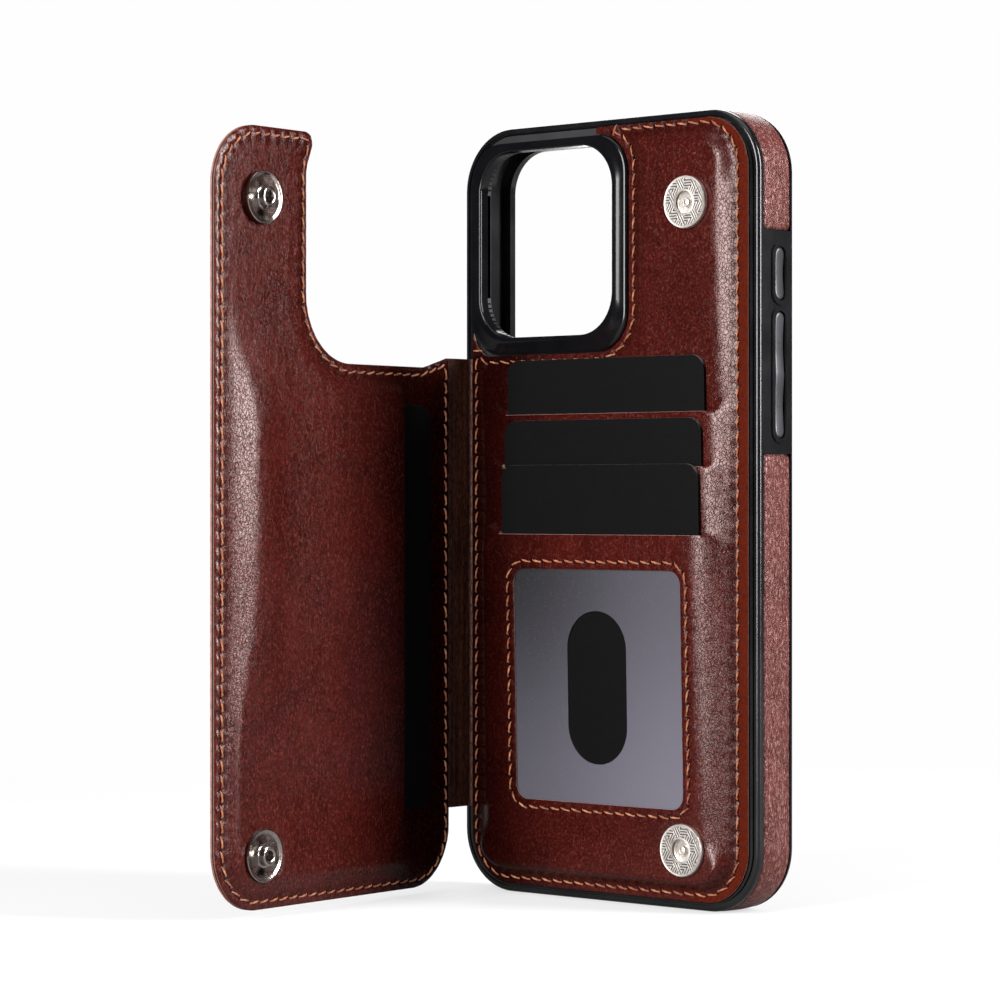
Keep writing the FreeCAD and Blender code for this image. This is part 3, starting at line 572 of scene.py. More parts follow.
def leather(name, dark, light, fleck, stretch=0.75, grain=1.0, crack=1.0, roughness=0.19):
    """Glossy printed leather: creased grain, mottled colour, and pale flecks where the grain stands up."""
    material, shader = new_material(name, IOR=1.5, Specular_Tint=(1.0, 0.80, 0.77, 1.0))
    upright = millimetres(material, (1, 1, stretch))
    plain = millimetres(material)
    calm = mark_node(material, "calm")
    painted_shade_mark = mark_node(material, "dark")
    warp = node(material, "ShaderNodeTexNoise", {"Vector": upright, "Scale": 0.7, "Detail": 3.0})
    warped = node(material, "ShaderNodeVectorMath", {0: warp.outputs["Color"], 1: (1.2, 1.2, 1.2)},
                  operation="MULTIPLY")
    bent = node(material, "ShaderNodeVectorMath", {0: upright, 1: warped.outputs[0]}, operation="ADD")
    creases, small_creases = (crease_lines(material, bent.outputs[0], scale, width)
                              for scale, width in ((1.6, 0.13), (3.6, 0.2)))
    pebble = noise_node(material, plain, 1.9, 3.0, 0.6)
    broad = noise_node(material, plain, 0.07, 4.0, 0.6, 0.4)
    cloud = noise_node(material, upright, 0.35, 4.0, 0.65)
    raised = ease(material, noise_node(material, upright, 1.9, 4.0, 0.78), 0.50, 0.66)

    height = plus(material, times(material, creases, 0.55 * crack), times(material, small_creases, 0.3))
    height = plus(material, height, times(material, pebble, 0.8))
    strength = times(material, minus(material, 1.0, calm), 0.62 * grain)
    normal = bump(material, height, strength, 0.030)

    tone = plus(material, times(material, broad, 0.8), times(material, cloud, 0.4))
    colour = blend_colour(material, ease(material, tone, 0.15, 0.95), dark, light)
    colour = blend_colour(material, times(material, raised, 0.54), colour, fleck)
    margin = tuple(c * share for c, share in zip(light, (1.55, 2.1, 1.3)))
    colour = blend_colour(material, times(material, calm, 0.8), colour, margin)
    # Painted shade: the colour is darkened in the grain's creases and where the dark mark is set, and the
    # dark mark also dulls the gloss.
    painted_shade = plus(material, times(material, creases, 0.35), 0.65)
    painted_shade = times(material, painted_shade, minus(material, 1.0, painted_shade_mark))
    grey = node(material, "ShaderNodeCombineColor", {0: painted_shade, 1: painted_shade, 2: painted_shade}).outputs[0]
    colour = blend_colour(material, 1.0, colour, grey, "MULTIPLY")

    gloss = plus(material, times(material, cloud, 0.12), roughness - 0.06)
    dull = math_node(material, "MAXIMUM", painted_shade_mark, calm)
    shine = times(material, minus(material, 1.05, dull), 0.46)
    shine = times(material, shine, plus(material, times(material, creases, 0.78), 0.22))
    connect(material, shader, Base_Color=colour, Normal=normal, Roughness=gloss, Specular_IOR_Level=shine)
    return material


def cut_edge(name, colour, glow):
    """Painted or cut edge of leather, a little uneven."""
    material, shader = new_material(name, Roughness=0.55)
    place = millimetres(material)
    fibres = noise_node(material, place, 2.5, 4.0, 0.7)
    shade = blend_colour(material, ease(material, fibres, 0.3, 0.75), colour, glow)
    connect(material, shader, Base_Color=shade, Normal=bump(material, fibres, 0.5, 0.08))
    return material


def plastic(name, colour, roughness, texture, bumpiness, gloss=0.5):
    """Moulded plastic with a fine surface and slightly uneven gloss."""
    material, shader = new_material(name, Specular_IOR_Level=gloss)
    place = millimetres(material)
    fine = noise_node(material, place, texture, 3.0, 0.6)
    smears = noise_node(material, place, 0.12, 3.0, 0.6)
    spread = plus(material, times(material, smears, roughness * 0.5), roughness * 0.75)
    lighter = tuple(c * 1.6 + 0.001 for c in colour)
    shade = blend_colour(material, ease(material, smears, 0.3, 0.8), colour, lighter)
    normal = bump(material, fine, bumpiness, 0.03)
    connect(material, shader, Base_Color=shade, Roughness=spread, Normal=normal)
    return material


def card(name):
    """Black card, painted with a pale highlight in specks along its upward-facing edge."""
    material, shader = new_material(name, Roughness=0.5, Specular_IOR_Level=0.12)
    place = millimetres(material)
    facing = node(material, "ShaderNodeNewGeometry").outputs["Normal"]
    upwards = node(material, "ShaderNodeSeparateXYZ", {0: facing}).outputs[2]
    specks = noise_node(material, place, 2.0, 3.0, 0.6)
    # Painted highlight on the faces that look upwards.
    painted_highlight = times(material, ease(material, upwards, 0.25, 0.7), ease(material, specks, 0.3, 0.6))
    black = blend_colour(material, ease(material, specks, 0.4, 0.8),
                         (0.0018, 0.0016, 0.0017), (0.0032, 0.0029, 0.0030))
    shade = blend_colour(material, painted_highlight, black, (0.16, 0.145, 0.14))
    connect(material, shader, Base_Color=shade, Normal=bump(material, specks, 0.15, 0.03))
    return material


def metal(name, colour, roughness, waviness):
    """Plated metal with small dents and hairline scratches, dark where it is engraved."""
    material, shader = new_material(name, Metallic=1.0)
    place = millimetres(material)
    scratches = noise_node(material, millimetres(material, (6, 6, 0.8)), 1.2, 3.0, 0.7)
    dents = noise_node(material, place, 0.7, 3.0, 0.6)
    spread = plus(material, times(material, scratches, 0.16), roughness - 0.06)
    darker, darkest = (tuple(c * share for c in colour) for share in (0.75, 0.05))
    shade = blend_colour(material, ease(material, dents, 0.3, 0.7), darker, colour)
    shade = blend_colour(material, mark_node(material, "hollow"), shade, darkest)
    normal = bump(material, scratches, 0.12, 0.02, bump(material, dents, waviness, 0.2))
    connect(material, shader, Base_Color=shade, Roughness=spread, Normal=normal)
    return material


def thread(name):
    """Twisted sewing thread, from burnt orange to tan."""
    material, shader = new_material(name, Roughness=0.6, Sheen_Weight=0.3)
    place = millimetres(material)
    colour = blend_colour(material, ease(material, noise_node(material, place, 0.45, 2.0), 0.35, 0.7),
                          (0.30, 0.070, 0.018), (0.60, 0.24, 0.095))
    fibres = node(material, "ShaderNodeTexWave", {"Vector": place, "Scale": 2.2, "Distortion": 1.5},
                  bands_direction="DIAGONAL")
    twist = fibres.outputs["Fac"]
    colour = blend_colour(material, times(material, twist, 0.35), colour, (0.12, 0.024, 0.006))
    connect(material, shader, Base_Color=colour, Normal=bump(material, twist, 0.5, 0.05))
    return material


def cloth(name, colour, lighter, scale):
    """Fine woven or brushed cloth."""
    material, shader = new_material(name, Roughness=0.9, Sheen_Weight=0.4)
    place = millimetres(material)
    weave = [node(material, "ShaderNodeTexWave", {"Vector": place, "Scale": scale, "Distortion": 0.6},
                  bands_direction=way).outputs["Fac"] for way in ("X", "Z")]
    fuzz = noise_node(material, place, 3.0, 4.0, 0.7)
    height = plus(material, times(material, *weave), fuzz)
    shade = blend_colour(material, ease(material, height, 0.4, 1.3), colour, lighter)
    connect(material, shader, Base_Color=shade, Normal=bump(material, height, 0.5, 0.08))
    return material


def foam(name):
    """Open foam with visible bubbles; their hollows are painted darker, as painted shade."""
    material, shader = new_material(name, Roughness=0.95)
    place = millimetres(material)
    bubbles = node(material, "ShaderNodeTexVoronoi", {"Vector": place, "Scale": 3.0}).outputs["Distance"]
    shade = blend_colour(material, ease(material, bubbles, 0.1, 0.6), (0.05, 0.035, 0.03),
                         (0.14, 0.11, 0.09))
    connect(material, shader, Base_Color=shade, Normal=bump(material, bubbles, 0.8, 0.15))
    return material


def frosted(name):
    """Frosted see-through sheet over a black card: grey, with fine speckle, a painted sheen that grows
    paler towards the right and the bottom, and painted glints in the speckle.
    """
    material, shader = new_material(name, IOR=1.45)
    place = millimetres(material)
    speckle = noise_node(material, place, 3.2, 3.0, 0.7)
    along = node(material, "ShaderNodeSeparateXYZ", {0: place})
    low, high = box_mm("id_window")
    sideways = ease(material, along.outputs[0], low.x, high.x)
    downwards = ease(material, along.outputs[2], high.z, low.z)
    # Painted sheen: the sheet is painted paler towards the right and the bottom.
    paleness = plus(material, times(material, sideways, 0.5), times(material, downwards, 0.5))
    tint = blend_colour(material, paleness, (0.009, 0.009, 0.011), (0.135, 0.128, 0.160))
    # Painted glints: pale grey specks.
    painted_glint = blend_colour(material, 0.3, tint, (0.22, 0.22, 0.25))
    tint = blend_colour(material, ease(material, speckle, 0.55, 0.8), tint, painted_glint)
    spread = plus(material, times(material, speckle, 0.15), 0.36)
    normal = bump(material, speckle, 0.25, 0.04)
    connect(material, shader, Base_Color=tint, Roughness=spread, Normal=normal)
    return material


# Leather colours run from dark to light, with flecks
panel_hide = leather("panel_leather_finish",
                     (0.021, 0.0022, 0.0018), (0.062, 0.0060, 0.0040), (0.17, 0.034, 0.024))
flap_hide = leather("flap_leather_finish",
                    (0.020, 0.0021, 0.0016), (0.062, 0.0058, 0.0036), (0.22, 0.038, 0.026), stretch=0.6)
# The band's lighter tone and pale pink flecks are partly its grain and partly a painted sheen.
band_hide_with_painted_sheen = leather("band_leather_finish",
                    (0.050, 0.0085, 0.0065), (0.15, 0.036, 0.031), (0.54, 0.27, 0.245),
                    stretch=0.4, grain=4.4, roughness=0.27)
spine_hide = leather("spine_leather_finish",
                     (0.018, 0.0055, 0.0032), (0.060, 0.0180, 0.0110), (0.13, 0.05, 0.03),
                     stretch=0.25, grain=1.3, crack=1.3, roughness=0.42)
painted_edge = cut_edge("painted_edge_finish", (0.20, 0.075, 0.055), (0.34, 0.17, 0.135))
dark_edge = cut_edge("dark_edge_finish", (0.020, 0.006, 0.004), (0.060, 0.018, 0.012))
lip_edge = cut_edge("lip_edge_finish", (0.34, 0.16, 0.13), (0.62, 0.42, 0.36))
thread_finish = thread("thread_finish")
foam_finish = foam("foam_finish")
lining_finish = cloth("lining_finish", (0.022, 0.006, 0.004), (0.06, 0.020, 0.013), 2.4)
microfibre = cloth("microfibre_finish", (0.010, 0.010, 0.011), (0.035, 0.035, 0.038), 4.0)
bumper_finish = plastic("bumper_finish", (0.0045, 0.0045, 0.0052), 0.20, 9.0, 0.12)
bezel_finish = plastic("bezel_finish", (0.0030, 0.0030, 0.0036), 0.12, 5.0, 0.03, 0.3)
shell_finish = plastic("shell_finish", (0.010, 0.010, 0.011), 0.55, 6.0, 0.5)
card_finish = card("card_finish")
key_finish = plastic("key_finish", (0.024, 0.024, 0.028), 0.34, 7.0, 0.12)
mark_finish = plastic("key_mark_finish", (0.003, 0.003, 0.003), 0.5, 6.0, 0.2)
board_finish = cut_edge("board_finish", (0.016, 0.006, 0.004), (0.045, 0.020, 0.013))
nickel = metal("nickel_finish", (0.93, 0.87, 0.81), 0.42, 0.02)
# The studs' nickel is a darker copy of the sockets' nickel: painted shade.
stud_nickel_painted_shade = metal("stud_finish", (0.46, 0.41, 0.38), 0.15, 0.35)
magnet_finish = metal("magnet_finish", (0.22, 0.22, 0.22), 0.45, 0.2)
window_finish = frosted("frosted_window_finish")


# ---------------------------------------------------------------- wallet panel

def panel_corners():
    """Corners of the panel: a rectangle with a step cut out for the camera bezel."""
    _, right, low, high, corner = BEZEL
    camera_x = right + CAMERA_GAP
    camera_z = low - CAMERA_GAP
    camera_top = high + CAMERA_GAP
    camera_corner = corner + CAMERA_GAP
    return [(PANEL_TIP_X, PANEL_HIGH, 0.4), (PANEL_TIP_X, camera_top, 0.3),
            (camera_x, camera_top, camera_corner), (camera_x, camera_z, camera_corner),
            (PANEL_LEFT + 2.0, camera_z, 5.0), (PANEL_LEFT + 0.4, PANEL_EAR_Z, 0.15),
            (PANEL_LEFT, PANEL_EAR_Z, 0.15), (PANEL_LEFT, PANEL_LOW, PANEL_CORNER),
            (PANEL_RIGHT, PANEL_LOW, PANEL_CORNER), (PANEL_RIGHT, PANEL_HIGH, PANEL_CORNER)]


panel_edge = rounded(panel_corners())
panel_seam = Seam([(-0.4, 79.25, 0.2), (7.9, 78.2, 7.0), (7.9, 31.7, 9.8), (-34.8, 31.7, 3.0),
                   (-36.6, 35.4, 0.3), (-36.6, -78.45, 9.0), (35.5, -78.45, 9.0), (35.5, 79.25, 9.0)])
window_seam = Seam(area(*WINDOW, grow=WINDOW_STITCH_MARGIN))
window_edge = rounded(area(*WINDOW))


def pad_level(points):
    """Front of the leather if the padding went on for ever: one step up at each pocket's lip."""
    x, z = points.T
    lean = (z - LIPS[0]) * TILT
    under_card = UNDER_CARD_OUT + lean
    level = SNAP_PLATEAU_OUT - np.logaddexp(0, (SNAP_PLATEAU_OUT - under_card) / 0.08) * 0.08
    beside = np.maximum(np.maximum(POCKET_LEFT - x, x - POCKET_RIGHT), 0)
    spread = SLOT_HEIGHT + 11 * smooth(beside / 6)
    for lip, out in zip(LIPS, TIER_OUTS):
        share = smooth(0.5 + (lip + SLOT_HEIGHT / 2 - z) / spread)
        level = mix(level, out + lean, share)
    return level


def panel_front(points):
    """Front of the panel's leather: steps over the cards, pulled down to the stitches and the snaps."""
    x, z = points.T
    level = pad_level(points)
    seam_depth, along = depth_in(points, panel_seam.loop)
    rise = level - FLANGE_OUT
    width = np.clip(0.2 + 1.9 * rise, 2.3, 6.2) * (1 - 0.62 * smooth((-66 - z) / 8))
    inward = seam_depth - PAD_MARGIN
    shoulder = smooth(inward / width) ** 0.75
    inset = np.maximum(seam_depth - 0.1, 0) / np.clip(1.7 + 1.5 * rise, 4.2, 7.4)
    long_roll = -np.logaddexp(-7 * inset, -7) / 7
    beside_right = smooth((x - 24) / 4) * smooth((72 - z) / 8) * smooth((z + 74) / 8)
    out = FLANGE_OUT + rise * mix(shoulder, long_roll, beside_right)
    padded = smooth((seam_depth - 2) / 4)
    beside_cards = bell(x - 31.5, 3.2) * smooth((z + 14) / 8) * smooth((36 - z) / 8)
    out += 0.045 * beside_cards * rough(points, 1.5, 4.0, 3, 1.2)
    out += 0.05 * padded * rough(points, 9.0, 1.0, 2) + 0.011 * rough(points, 2.2, 7.0, 3, 1.8)
    out += panel_seam.pull(seam_depth, along)
    edge_depth = depth_in(points, panel_edge)[0]
    out -= 0.14 * (1 - np.clip(edge_depth / 0.5, 0, 1)) ** 2
    window_depth, window_along = depth_in(points, window_seam.loop)
    out += 0.75 * window_seam.pull(-window_depth, window_along)
    opening = -depth_in(points, window_edge)[0]
    out += 0.07 * bell(opening - 0.7, 0.5) - 0.1 * (1 - np.clip(opening / 0.4, 0, 1)) ** 2
    for snap_z, base in zip(SNAP_HEIGHTS, SOCKET_BASES):
        distance = np.hypot(x - SNAP_X, z - snap_z)
        pressed = smooth((SOCKET_RADIUS + 2.2 - distance) / 2.4)
        out = mix(out, np.minimum(out, base - 0.03), pressed)
    return out


def panel_marks(points):
    """Painted shade by the hinge, where the flap's shadow falls, in the needle holes and beside the
    stitches; smoother outside the stitching.
    """
    x, z = points.T
    depth, along = depth_in(points, panel_seam.loop)
    holes = panel_seam.holes(depth, along)
    window_depth, window_along = depth_in(points, window_seam.loop)
    holes = np.maximum(holes, window_seam.holes(window_depth, window_along))
    hinge_shadow = 0.78 * smooth((-4 - x) / 28) * smooth((42 - z) / 10)
    # The dark mark is painted shade: the flap's shadow by the hinge, the needle holes and a band beside
    # the stitches.
    dark = np.maximum(np.maximum(0.9 * holes, hinge_shadow), 0.35 * bell(depth - 1.0, 0.8))
    calm = 0.95 * smooth((0.5 - depth) / 0.6) * smooth((x - 20) / 8)
    return {"dark": dark, "calm": calm}


def make_panel_leather():
    """Leather of the panel, open at the card slots, the window and the snaps."""
    slots = [spaced(area(POCKET_LEFT, POCKET_RIGHT, lip, lip + SLOT_HEIGHT, LIP_CORNER)) for lip in LIPS]
    cups = [rounded(bar(SNAP_X, z, 5.4, 5.4)) for z in SNAP_HEIGHTS]
    window = spaced(area(*WINDOW), 0.5)
    flat = fill(spaced(panel_corners(), 0.5), [*slots, *cups, window], GRID, (panel_seam, window_seam))
    points = flat[0]
    piece = closed_sheet("panel_leather_skin", on_case, flat, panel_front(points), LEATHER,
                         [panel_hide, lip_edge], marks=panel_marks(points))
    settle(piece, "case", "brown_leather", "panel_leather")


def make_panel_padding():
    """Foam under the panel's leather, hollowed where the cards go."""
    outer = spaced([(0.6, 78.2, 0.2), (9.0, 77.0, 6.0), (9.0, 30.6, 8.8), (-35.4, 30.6, 3.0),
                    (-35.4, -77.2, 8.0), (34.4, -77.2, 8.0), (34.4, 78.2, 8.0)], PAD_GRID)
    pocket = area(POCKET_LEFT - 0.1, POCKET_RIGHT + 0.1, -76.4, 60.0, 0.5)
    points, triangles = fill(outer, [], PAD_GRID)
    in_pocket = smooth(depth_in(points, rounded(pocket))[0] / 0.6)
    x, z = points.T
    level = np.minimum(panel_front(points) - LEATHER - 0.05, 9.0)
    card_bed = UNDER_CARD_OUT - 0.05 + (z - LIPS[0]) * TILT
    top = np.where(in_pocket > 0, np.minimum(level, card_bed), level)
    for snap_z, base in zip(SNAP_HEIGHTS, SOCKET_BASES):
        near = np.hypot(x - SNAP_X, z - snap_z) < SOCKET_RADIUS + 1.2
        top = np.where(near, np.minimum(top, base - 1.0), top)
    top = np.maximum(top, BOARD_FRONT_OUT + 0.1)
    back = np.full(len(points), BOARD_FRONT_OUT + 0.02)
    piece = closed_sheet("panel_foam_pad", on_case, (points, triangles), top, 0, [foam_finish],
                         back=back, bulge=0)
    settle(piece, "case", "padding_foam", "panel_padding")


def make_lining(node_name, body, slot, material, place, corners, out, thickness, holes=(), flip=False):
    """Thin lining sheet, very slightly wavy."""
    flat = fill(spaced(corners, 2.0), holes, 2.0)
    front = out + 0.02 * rough(flat[0], 14.0, 5.0, 2)
    piece = closed_sheet(node_name + "_sheet", place, flat, front, thickness, [material], flip, bulge=0)
    settle(piece, body, slot, node_name)


def leaning(points, out):
    """Place on the case for sheets that lean with the cards."""
    return on_case(points, out + (points[:, 1] - LIPS[0]) * TILT)


def make_linings():
    """Linings of the card pockets, the phone space and the flap's pocket."""
    for node_name in ("pocket_divider_inner", "pocket_divider_outer"):
        low, high = box_mm(node_name)
        out = RIM_Y - low.y - (high.z - MIDDLE_Z - LIPS[0]) * TILT
        corners = area(low.x, high.x, low.z - MIDDLE_Z, high.z - MIDDLE_Z, 3.2)
        make_lining(node_name, "case", "brown_lining", lining_finish, leaning, corners, out - 0.05, 0.3)
    low, high = box_mm("phone_lining")
    corners = area(low.x, high.x, low.z - MIDDLE_Z, high.z - MIDDLE_Z, 11.0)
    lens = spaced(area(*LENS_OPENING, grow=0.3), 1.0)
    make_lining("phone_lining", "case", "black_microfibre", microfibre, on_case, corners,
                RIM_Y - high.y, 0.17, [lens], True)
    corners = area(SLIT_X, FLAP_POCKET_END, SLIT_LOW + 0.2, SLIT_HIGH - 0.2, 1.0)
    make_lining("flap_pocket_lining", "flap", "brown_lining", lining_finish, on_flap, corners,
                FLAP_INNER_OUT + SHELF_DEPTH, 0.12, (), True)


# ---------------------------------------------------------------- flap

def flap_corners(inset, hinge_x):
    """Corners of the flap, with its cutout for the camera, drawn in by inset."""
    free_x = FLAP_FREE_X - inset
    rounding = 12.5 - inset
    cutout_x = 8.8 + inset
    cutout_z = 30.4 - inset
    tip_z = FLAP_HIGH - inset
    return [(5.6 + 1.6 * inset, tip_z, 2.4 - 0.8 * inset), (cutout_x, 70.0, 9.0),
            (cutout_x, cutout_z, 14.0 + inset), (hinge_x + 8.6, cutout_z, 6.0),
            (hinge_x, cutout_z + 2.4, 0.6), (hinge_x, FLAP_LOW + inset, rounding),
            (free_x, FLAP_LOW + inset, rounding), (free_x, tip_z, rounding)]


flap_seam = Seam(flap_corners(1.7, CREASE_X + 2.1))


def flap_inner_front(points):
    """Front of the flap's inner leather: a soft pad up to the slit, and a shelf under the card."""
    x, z = points.T
    depth, along = depth_in(points, flap_seam.loop)
    beside_free_edge = smooth((x - 10) / 12) * smooth((40 - z) / 24) * smooth((z + 52) / 42)
    width = mix(3.6, 9.5, beside_free_edge)
    roll = 0.5 * beside_free_edge * bell(depth - 11.5, 6.5)
    neck = 0.92 * smooth((z - 16) / 30)
    pad = (INNER_PAD * (1 - neck) + roll) * smooth((depth - 1.0) / width)
    beyond = np.maximum(np.maximum(SLIT_LOW - z, z - SLIT_HIGH), 0)
    in_slit = smooth(1 - beyond / 4)
    shelf = -SHELF_DEPTH * in_slit * smooth((x + 37.0) / 0.9)
    spread = 0.35 + 12 * smooth(beyond / 7)
    raised = mix(shelf, pad, smooth(0.5 + (x - SLIT_X + 0.17) / spread))
    padded = smooth((depth - 2) / 4)
    raised += 0.045 * padded * rough(points, 10.0, 21.0, 2, 1.6)
    raised += 0.016 * rough(points, 2.2, 23.0, 3, 1.8)
    raised += flap_seam.pull(depth, along)
    edge_depth = depth_in(points, flap_inner_edge)[0]
    raised -= 0.42 * (1 - np.clip(edge_depth / 1.0, 0, 1)) ** 2
    out = FLAP_INNER_OUT - raised
    for snap_z in SNAP_HEIGHTS:
        distance = np.hypot(x - SNAP_X, z - snap_z)
        pressed = smooth((SOCKET_RADIUS + 1.6 - distance) / 1.5)
        out = mix(out, np.maximum(out, 5.42), pressed)
    return out


def flap_outer_front(points):
    """Front of the flap's outer leather: a shallow pad that thins at its edge."""
    depth, along = depth_in(points, flap_seam.loop)
    raised = OUTER_PAD * smooth((depth - 1.2) / 5.0) ** 0.8
    raised += 0.04 * smooth((depth - 2) / 4) * rough(points, 11.0, 31.0, 2, 1.4)
    raised += 0.016 * rough(points, 2.2, 33.0, 3, 1.8) + flap_seam.pull(depth, along)
    edge_depth = depth_in(points, flap_outer_edge)[0]
    raised -= 0.35 * (1 - np.clip(edge_depth / 1.0, 0, 1)) ** 2
    return FLAP_OUTER_OUT + raised


def flap_marks(points, hinge_shadow_depth):
    """Painted shade in the needle holes, beside the stitches and towards the hinge, where the case shadows
    the flap.
    """
    x, z = points.T
    depth, along = depth_in(points, flap_seam.loop)
    holes = flap_seam.holes(depth, along)
    hinge_shadow = hinge_shadow_depth * smooth((4 - x) / 40) * smooth((40 - z) / 14)
    # The dark mark is painted shade.
    dark = np.maximum(np.maximum(0.85 * holes, hinge_shadow), 0.3 * bell(depth - 0.9, 0.7))
    return {"dark": dark}


flap_inner_edge = rounded(flap_corners(0, FLAP_INNER_EDGE_X))
flap_outer_edge = rounded(flap_corners(0, FLAP_OUTER_EDGE_X))


def press_when_closed(piece):
    """Works out where and which way the padded inside would give way against the card panel as the flap
    closes, and gives the piece a mesh of its own; nothing is pressed.
    """
    middle = np.zeros((1, 2))
    anchor = on_flap(middle, FLAP_INNER_OUT + SHELF_DEPTH)[0]
    inwards = unit(on_flap(middle, FLAP_INNER_OUT)[0] - anchor)
    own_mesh(piece)


def make_flap_leathers():
    """Inner leather, slit for the card and holed for the studs, and outer leather."""
    slit = spaced(area(SLIT_X - 0.35, SLIT_X, SLIT_LOW + 0.1, SLIT_HIGH - 0.1, LIP_CORNER))
    posts = [rounded(bar(SNAP_X, z, 4.5, 4.5)) for z in SNAP_HEIGHTS]
    flat = fill(spaced(flap_corners(0, FLAP_INNER_EDGE_X), 0.5), [slit, *posts], GRID, (flap_seam,))
    points = flat[0]
    piece = closed_sheet("flap_inner_skin", on_flap, flat, flap_inner_front(points), LEATHER,
                         [flap_hide, painted_edge], flip=True, marks=flap_marks(points, 0.72))
    settle(piece, "flap", "brown_leather", "flap_inner_leather")
    press_when_closed(piece)
    flat = fill(spaced(flap_corners(0, FLAP_OUTER_EDGE_X), 0.5), [], GRID, (flap_seam,))
    points = flat[0]
    piece = closed_sheet("flap_outer_skin", on_flap, flat, flap_outer_front(points), LEATHER,
                         [panel_hide, painted_edge], marks=flap_marks(points, 0.0))
    settle(piece, "flap", "brown_leather", "flap_outer_leather")


def make_flap_pads():
    """Foam behind the inner leather, hollowed for the card, and thin foam behind the outer leather."""
    outline = spaced(flap_corners(3.0, SLIT_X - 0.2), PAD_GRID)
    posts = [spaced(bar(SNAP_X, z, 11.4, 11.4), 1.0) for z in SNAP_HEIGHTS]
    points, triangles = fill(outline, posts, PAD_GRID)
    x, z = points.T
    front = flap_inner_front(points) + LEATHER + 0.04
    beside_card = (x < 23.3) & (z > SLIT_LOW) & (z < SLIT_HIGH)
    front = np.where(beside_card, 6.74, np.minimum(front, 6.9))
    back = np.full(len(points), FLAP_CORE_OUTS[0] - 0.02)
    piece = closed_sheet("flap_inner_foam", on_flap, (points, triangles), front, 0, [foam_finish],
                         True, back, 0)
    settle(piece, "flap", "padding_foam", "flap_padding")
    press_when_closed(piece)
    points, triangles = fill(spaced(flap_corners(4.2, -35.0), PAD_GRID), [], PAD_GRID)
    front = np.maximum(flap_outer_front(points) - LEATHER - 0.03, FLAP_CORE_OUTS[1] + 0.06)
    back = np.full(len(points), FLAP_CORE_OUTS[1] + 0.02)
    piece = closed_sheet("flap_outer_foam", on_flap, (points, triangles), front, 0, [foam_finish],
                         False, back, 0)
    settle(piece, "flap", "padding_foam", "flap_foam")


# ---------------------------------------------------------------- spine

def spine_path():
    """Line of the spine at rest, seen from above, from the panel's edge to the flap's edge, in mm."""
    start = np.array(((CREASE_X + 0.85, 0.0), (CREASE_X + 0.4, 0.0)))
    first = on_case(start, np.array((0.2, 0.3)))[:, :2] / MM
    finish = np.array(((CREASE_X, 0.0), (CREASE_X + 0.42, 0.0)))
    last = on_flap(finish, np.array((7.0, 7.25)))[:, :2] / MM
    a = np.array(body_crease[:2])
    b = np.array(flap_crease[:2])
    inner = [mix(a, b, share) for share in (0.06, 0.25, 0.5, 0.75, 0.94)]
    return np.vstack((first, inner, last))


def smooth_path(line, steps):
    """Even points on a soft curve through the points of an open line."""
    for _ in range(3):
        quarter = mix(line[:-1], line[1:], 0.25)
        three_quarters = mix(line[:-1], line[1:], 0.75)
        between = np.stack((quarter, three_quarters), 1).reshape(-1, 2)
        line = np.vstack((line[:1], between, line[-1:]))
    along = np.concatenate(((0,), np.cumsum(np.linalg.norm(np.diff(line, axis=0), axis=1))))
    wanted = np.linspace(0, along[-1], steps)
    return np.column_stack([np.interp(wanted, along, line[:, axis]) for axis in (0, 1)]), along[-1]


spine_line, spine_total = smooth_path(spine_path(), 81)
spine_steps = np.linspace(0, spine_total, 81)
spine_way = np.gradient(spine_line, axis=0)
spine_way /= np.linalg.norm(spine_way, axis=1)[:, None]


def on_spine(points, offset):
    """Points given as (distance along the spine's line, z) and an offset to its inner side."""
    u = points[:, 0]
    place = np.column_stack([np.interp(u, spine_steps, spine_line[:, axis]) for axis in (0, 1)])
    way = np.column_stack([np.interp(u, spine_steps, spine_way[:, axis]) for axis in (0, 1)])
    side = np.column_stack((-way[:, 1], way[:, 0]))
    flat = place + side * offset[:, None]
    return np.column_stack((flat, MIDDLE_Z + points[:, 1])) * MM


def spine_wrinkles(points):
    """Upright folds that the spine gets from being opened and closed."""
    u = points[:, 0]
    middle = smooth((u - 0.6) / 1.5) * smooth((spine_total - 0.6 - u) / 1.5)
    return 0.14 * middle * rough(points, 1.3, 41.0, 3, 16.0)


def spine_strip(name, low_u, high_u, shorten, offset, thickness, grid):
    """Strip of the spine between two distances along its line."""
    corners = area(low_u, high_u, SPINE_LOW + shorten, SPINE_HIGH - shorten, 0.12)
    flat = fill(spaced(corners, 0.4), [], grid)
    front = offset + spine_wrinkles(flat[0])
    piece = closed_sheet(name, on_spine, flat, front, 0.0, [spine_hide, dark_edge], flip=True,
                         back=front + thickness, bulge=0.02)
    piece.data.flip_normals()
    return piece


def make_spine():
    """Leather in two halves, each laid along the spine's line at rest over one crease and fixed in place
    there, and the lining between the creases.
    """
    middle = spine_total / 2
    first, last = SPINE_BEND
    halves = (("spine_skin_case_side", 0.0, middle, ("case", "spine"), (first, last)),
              ("spine_skin_flap_side", middle, spine_total, ("spine", "flap"),
               (spine_total - last, spine_total - first)))
    for name, low_u, high_u, bodies, bend in halves:
        piece = spine_strip(name, low_u, high_u, 0, -0.22, 0.42, 0.45)
        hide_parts("spine_leather")
        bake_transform(piece)
    piece = spine_strip("spine_lining_skin", 1.6, spine_total - 1.6, 1, 0.24, 0.16, 0.4)
    settle(piece, "spine", "brown_lining", "spine_lining")


# ---------------------------------------------------------------- stitches

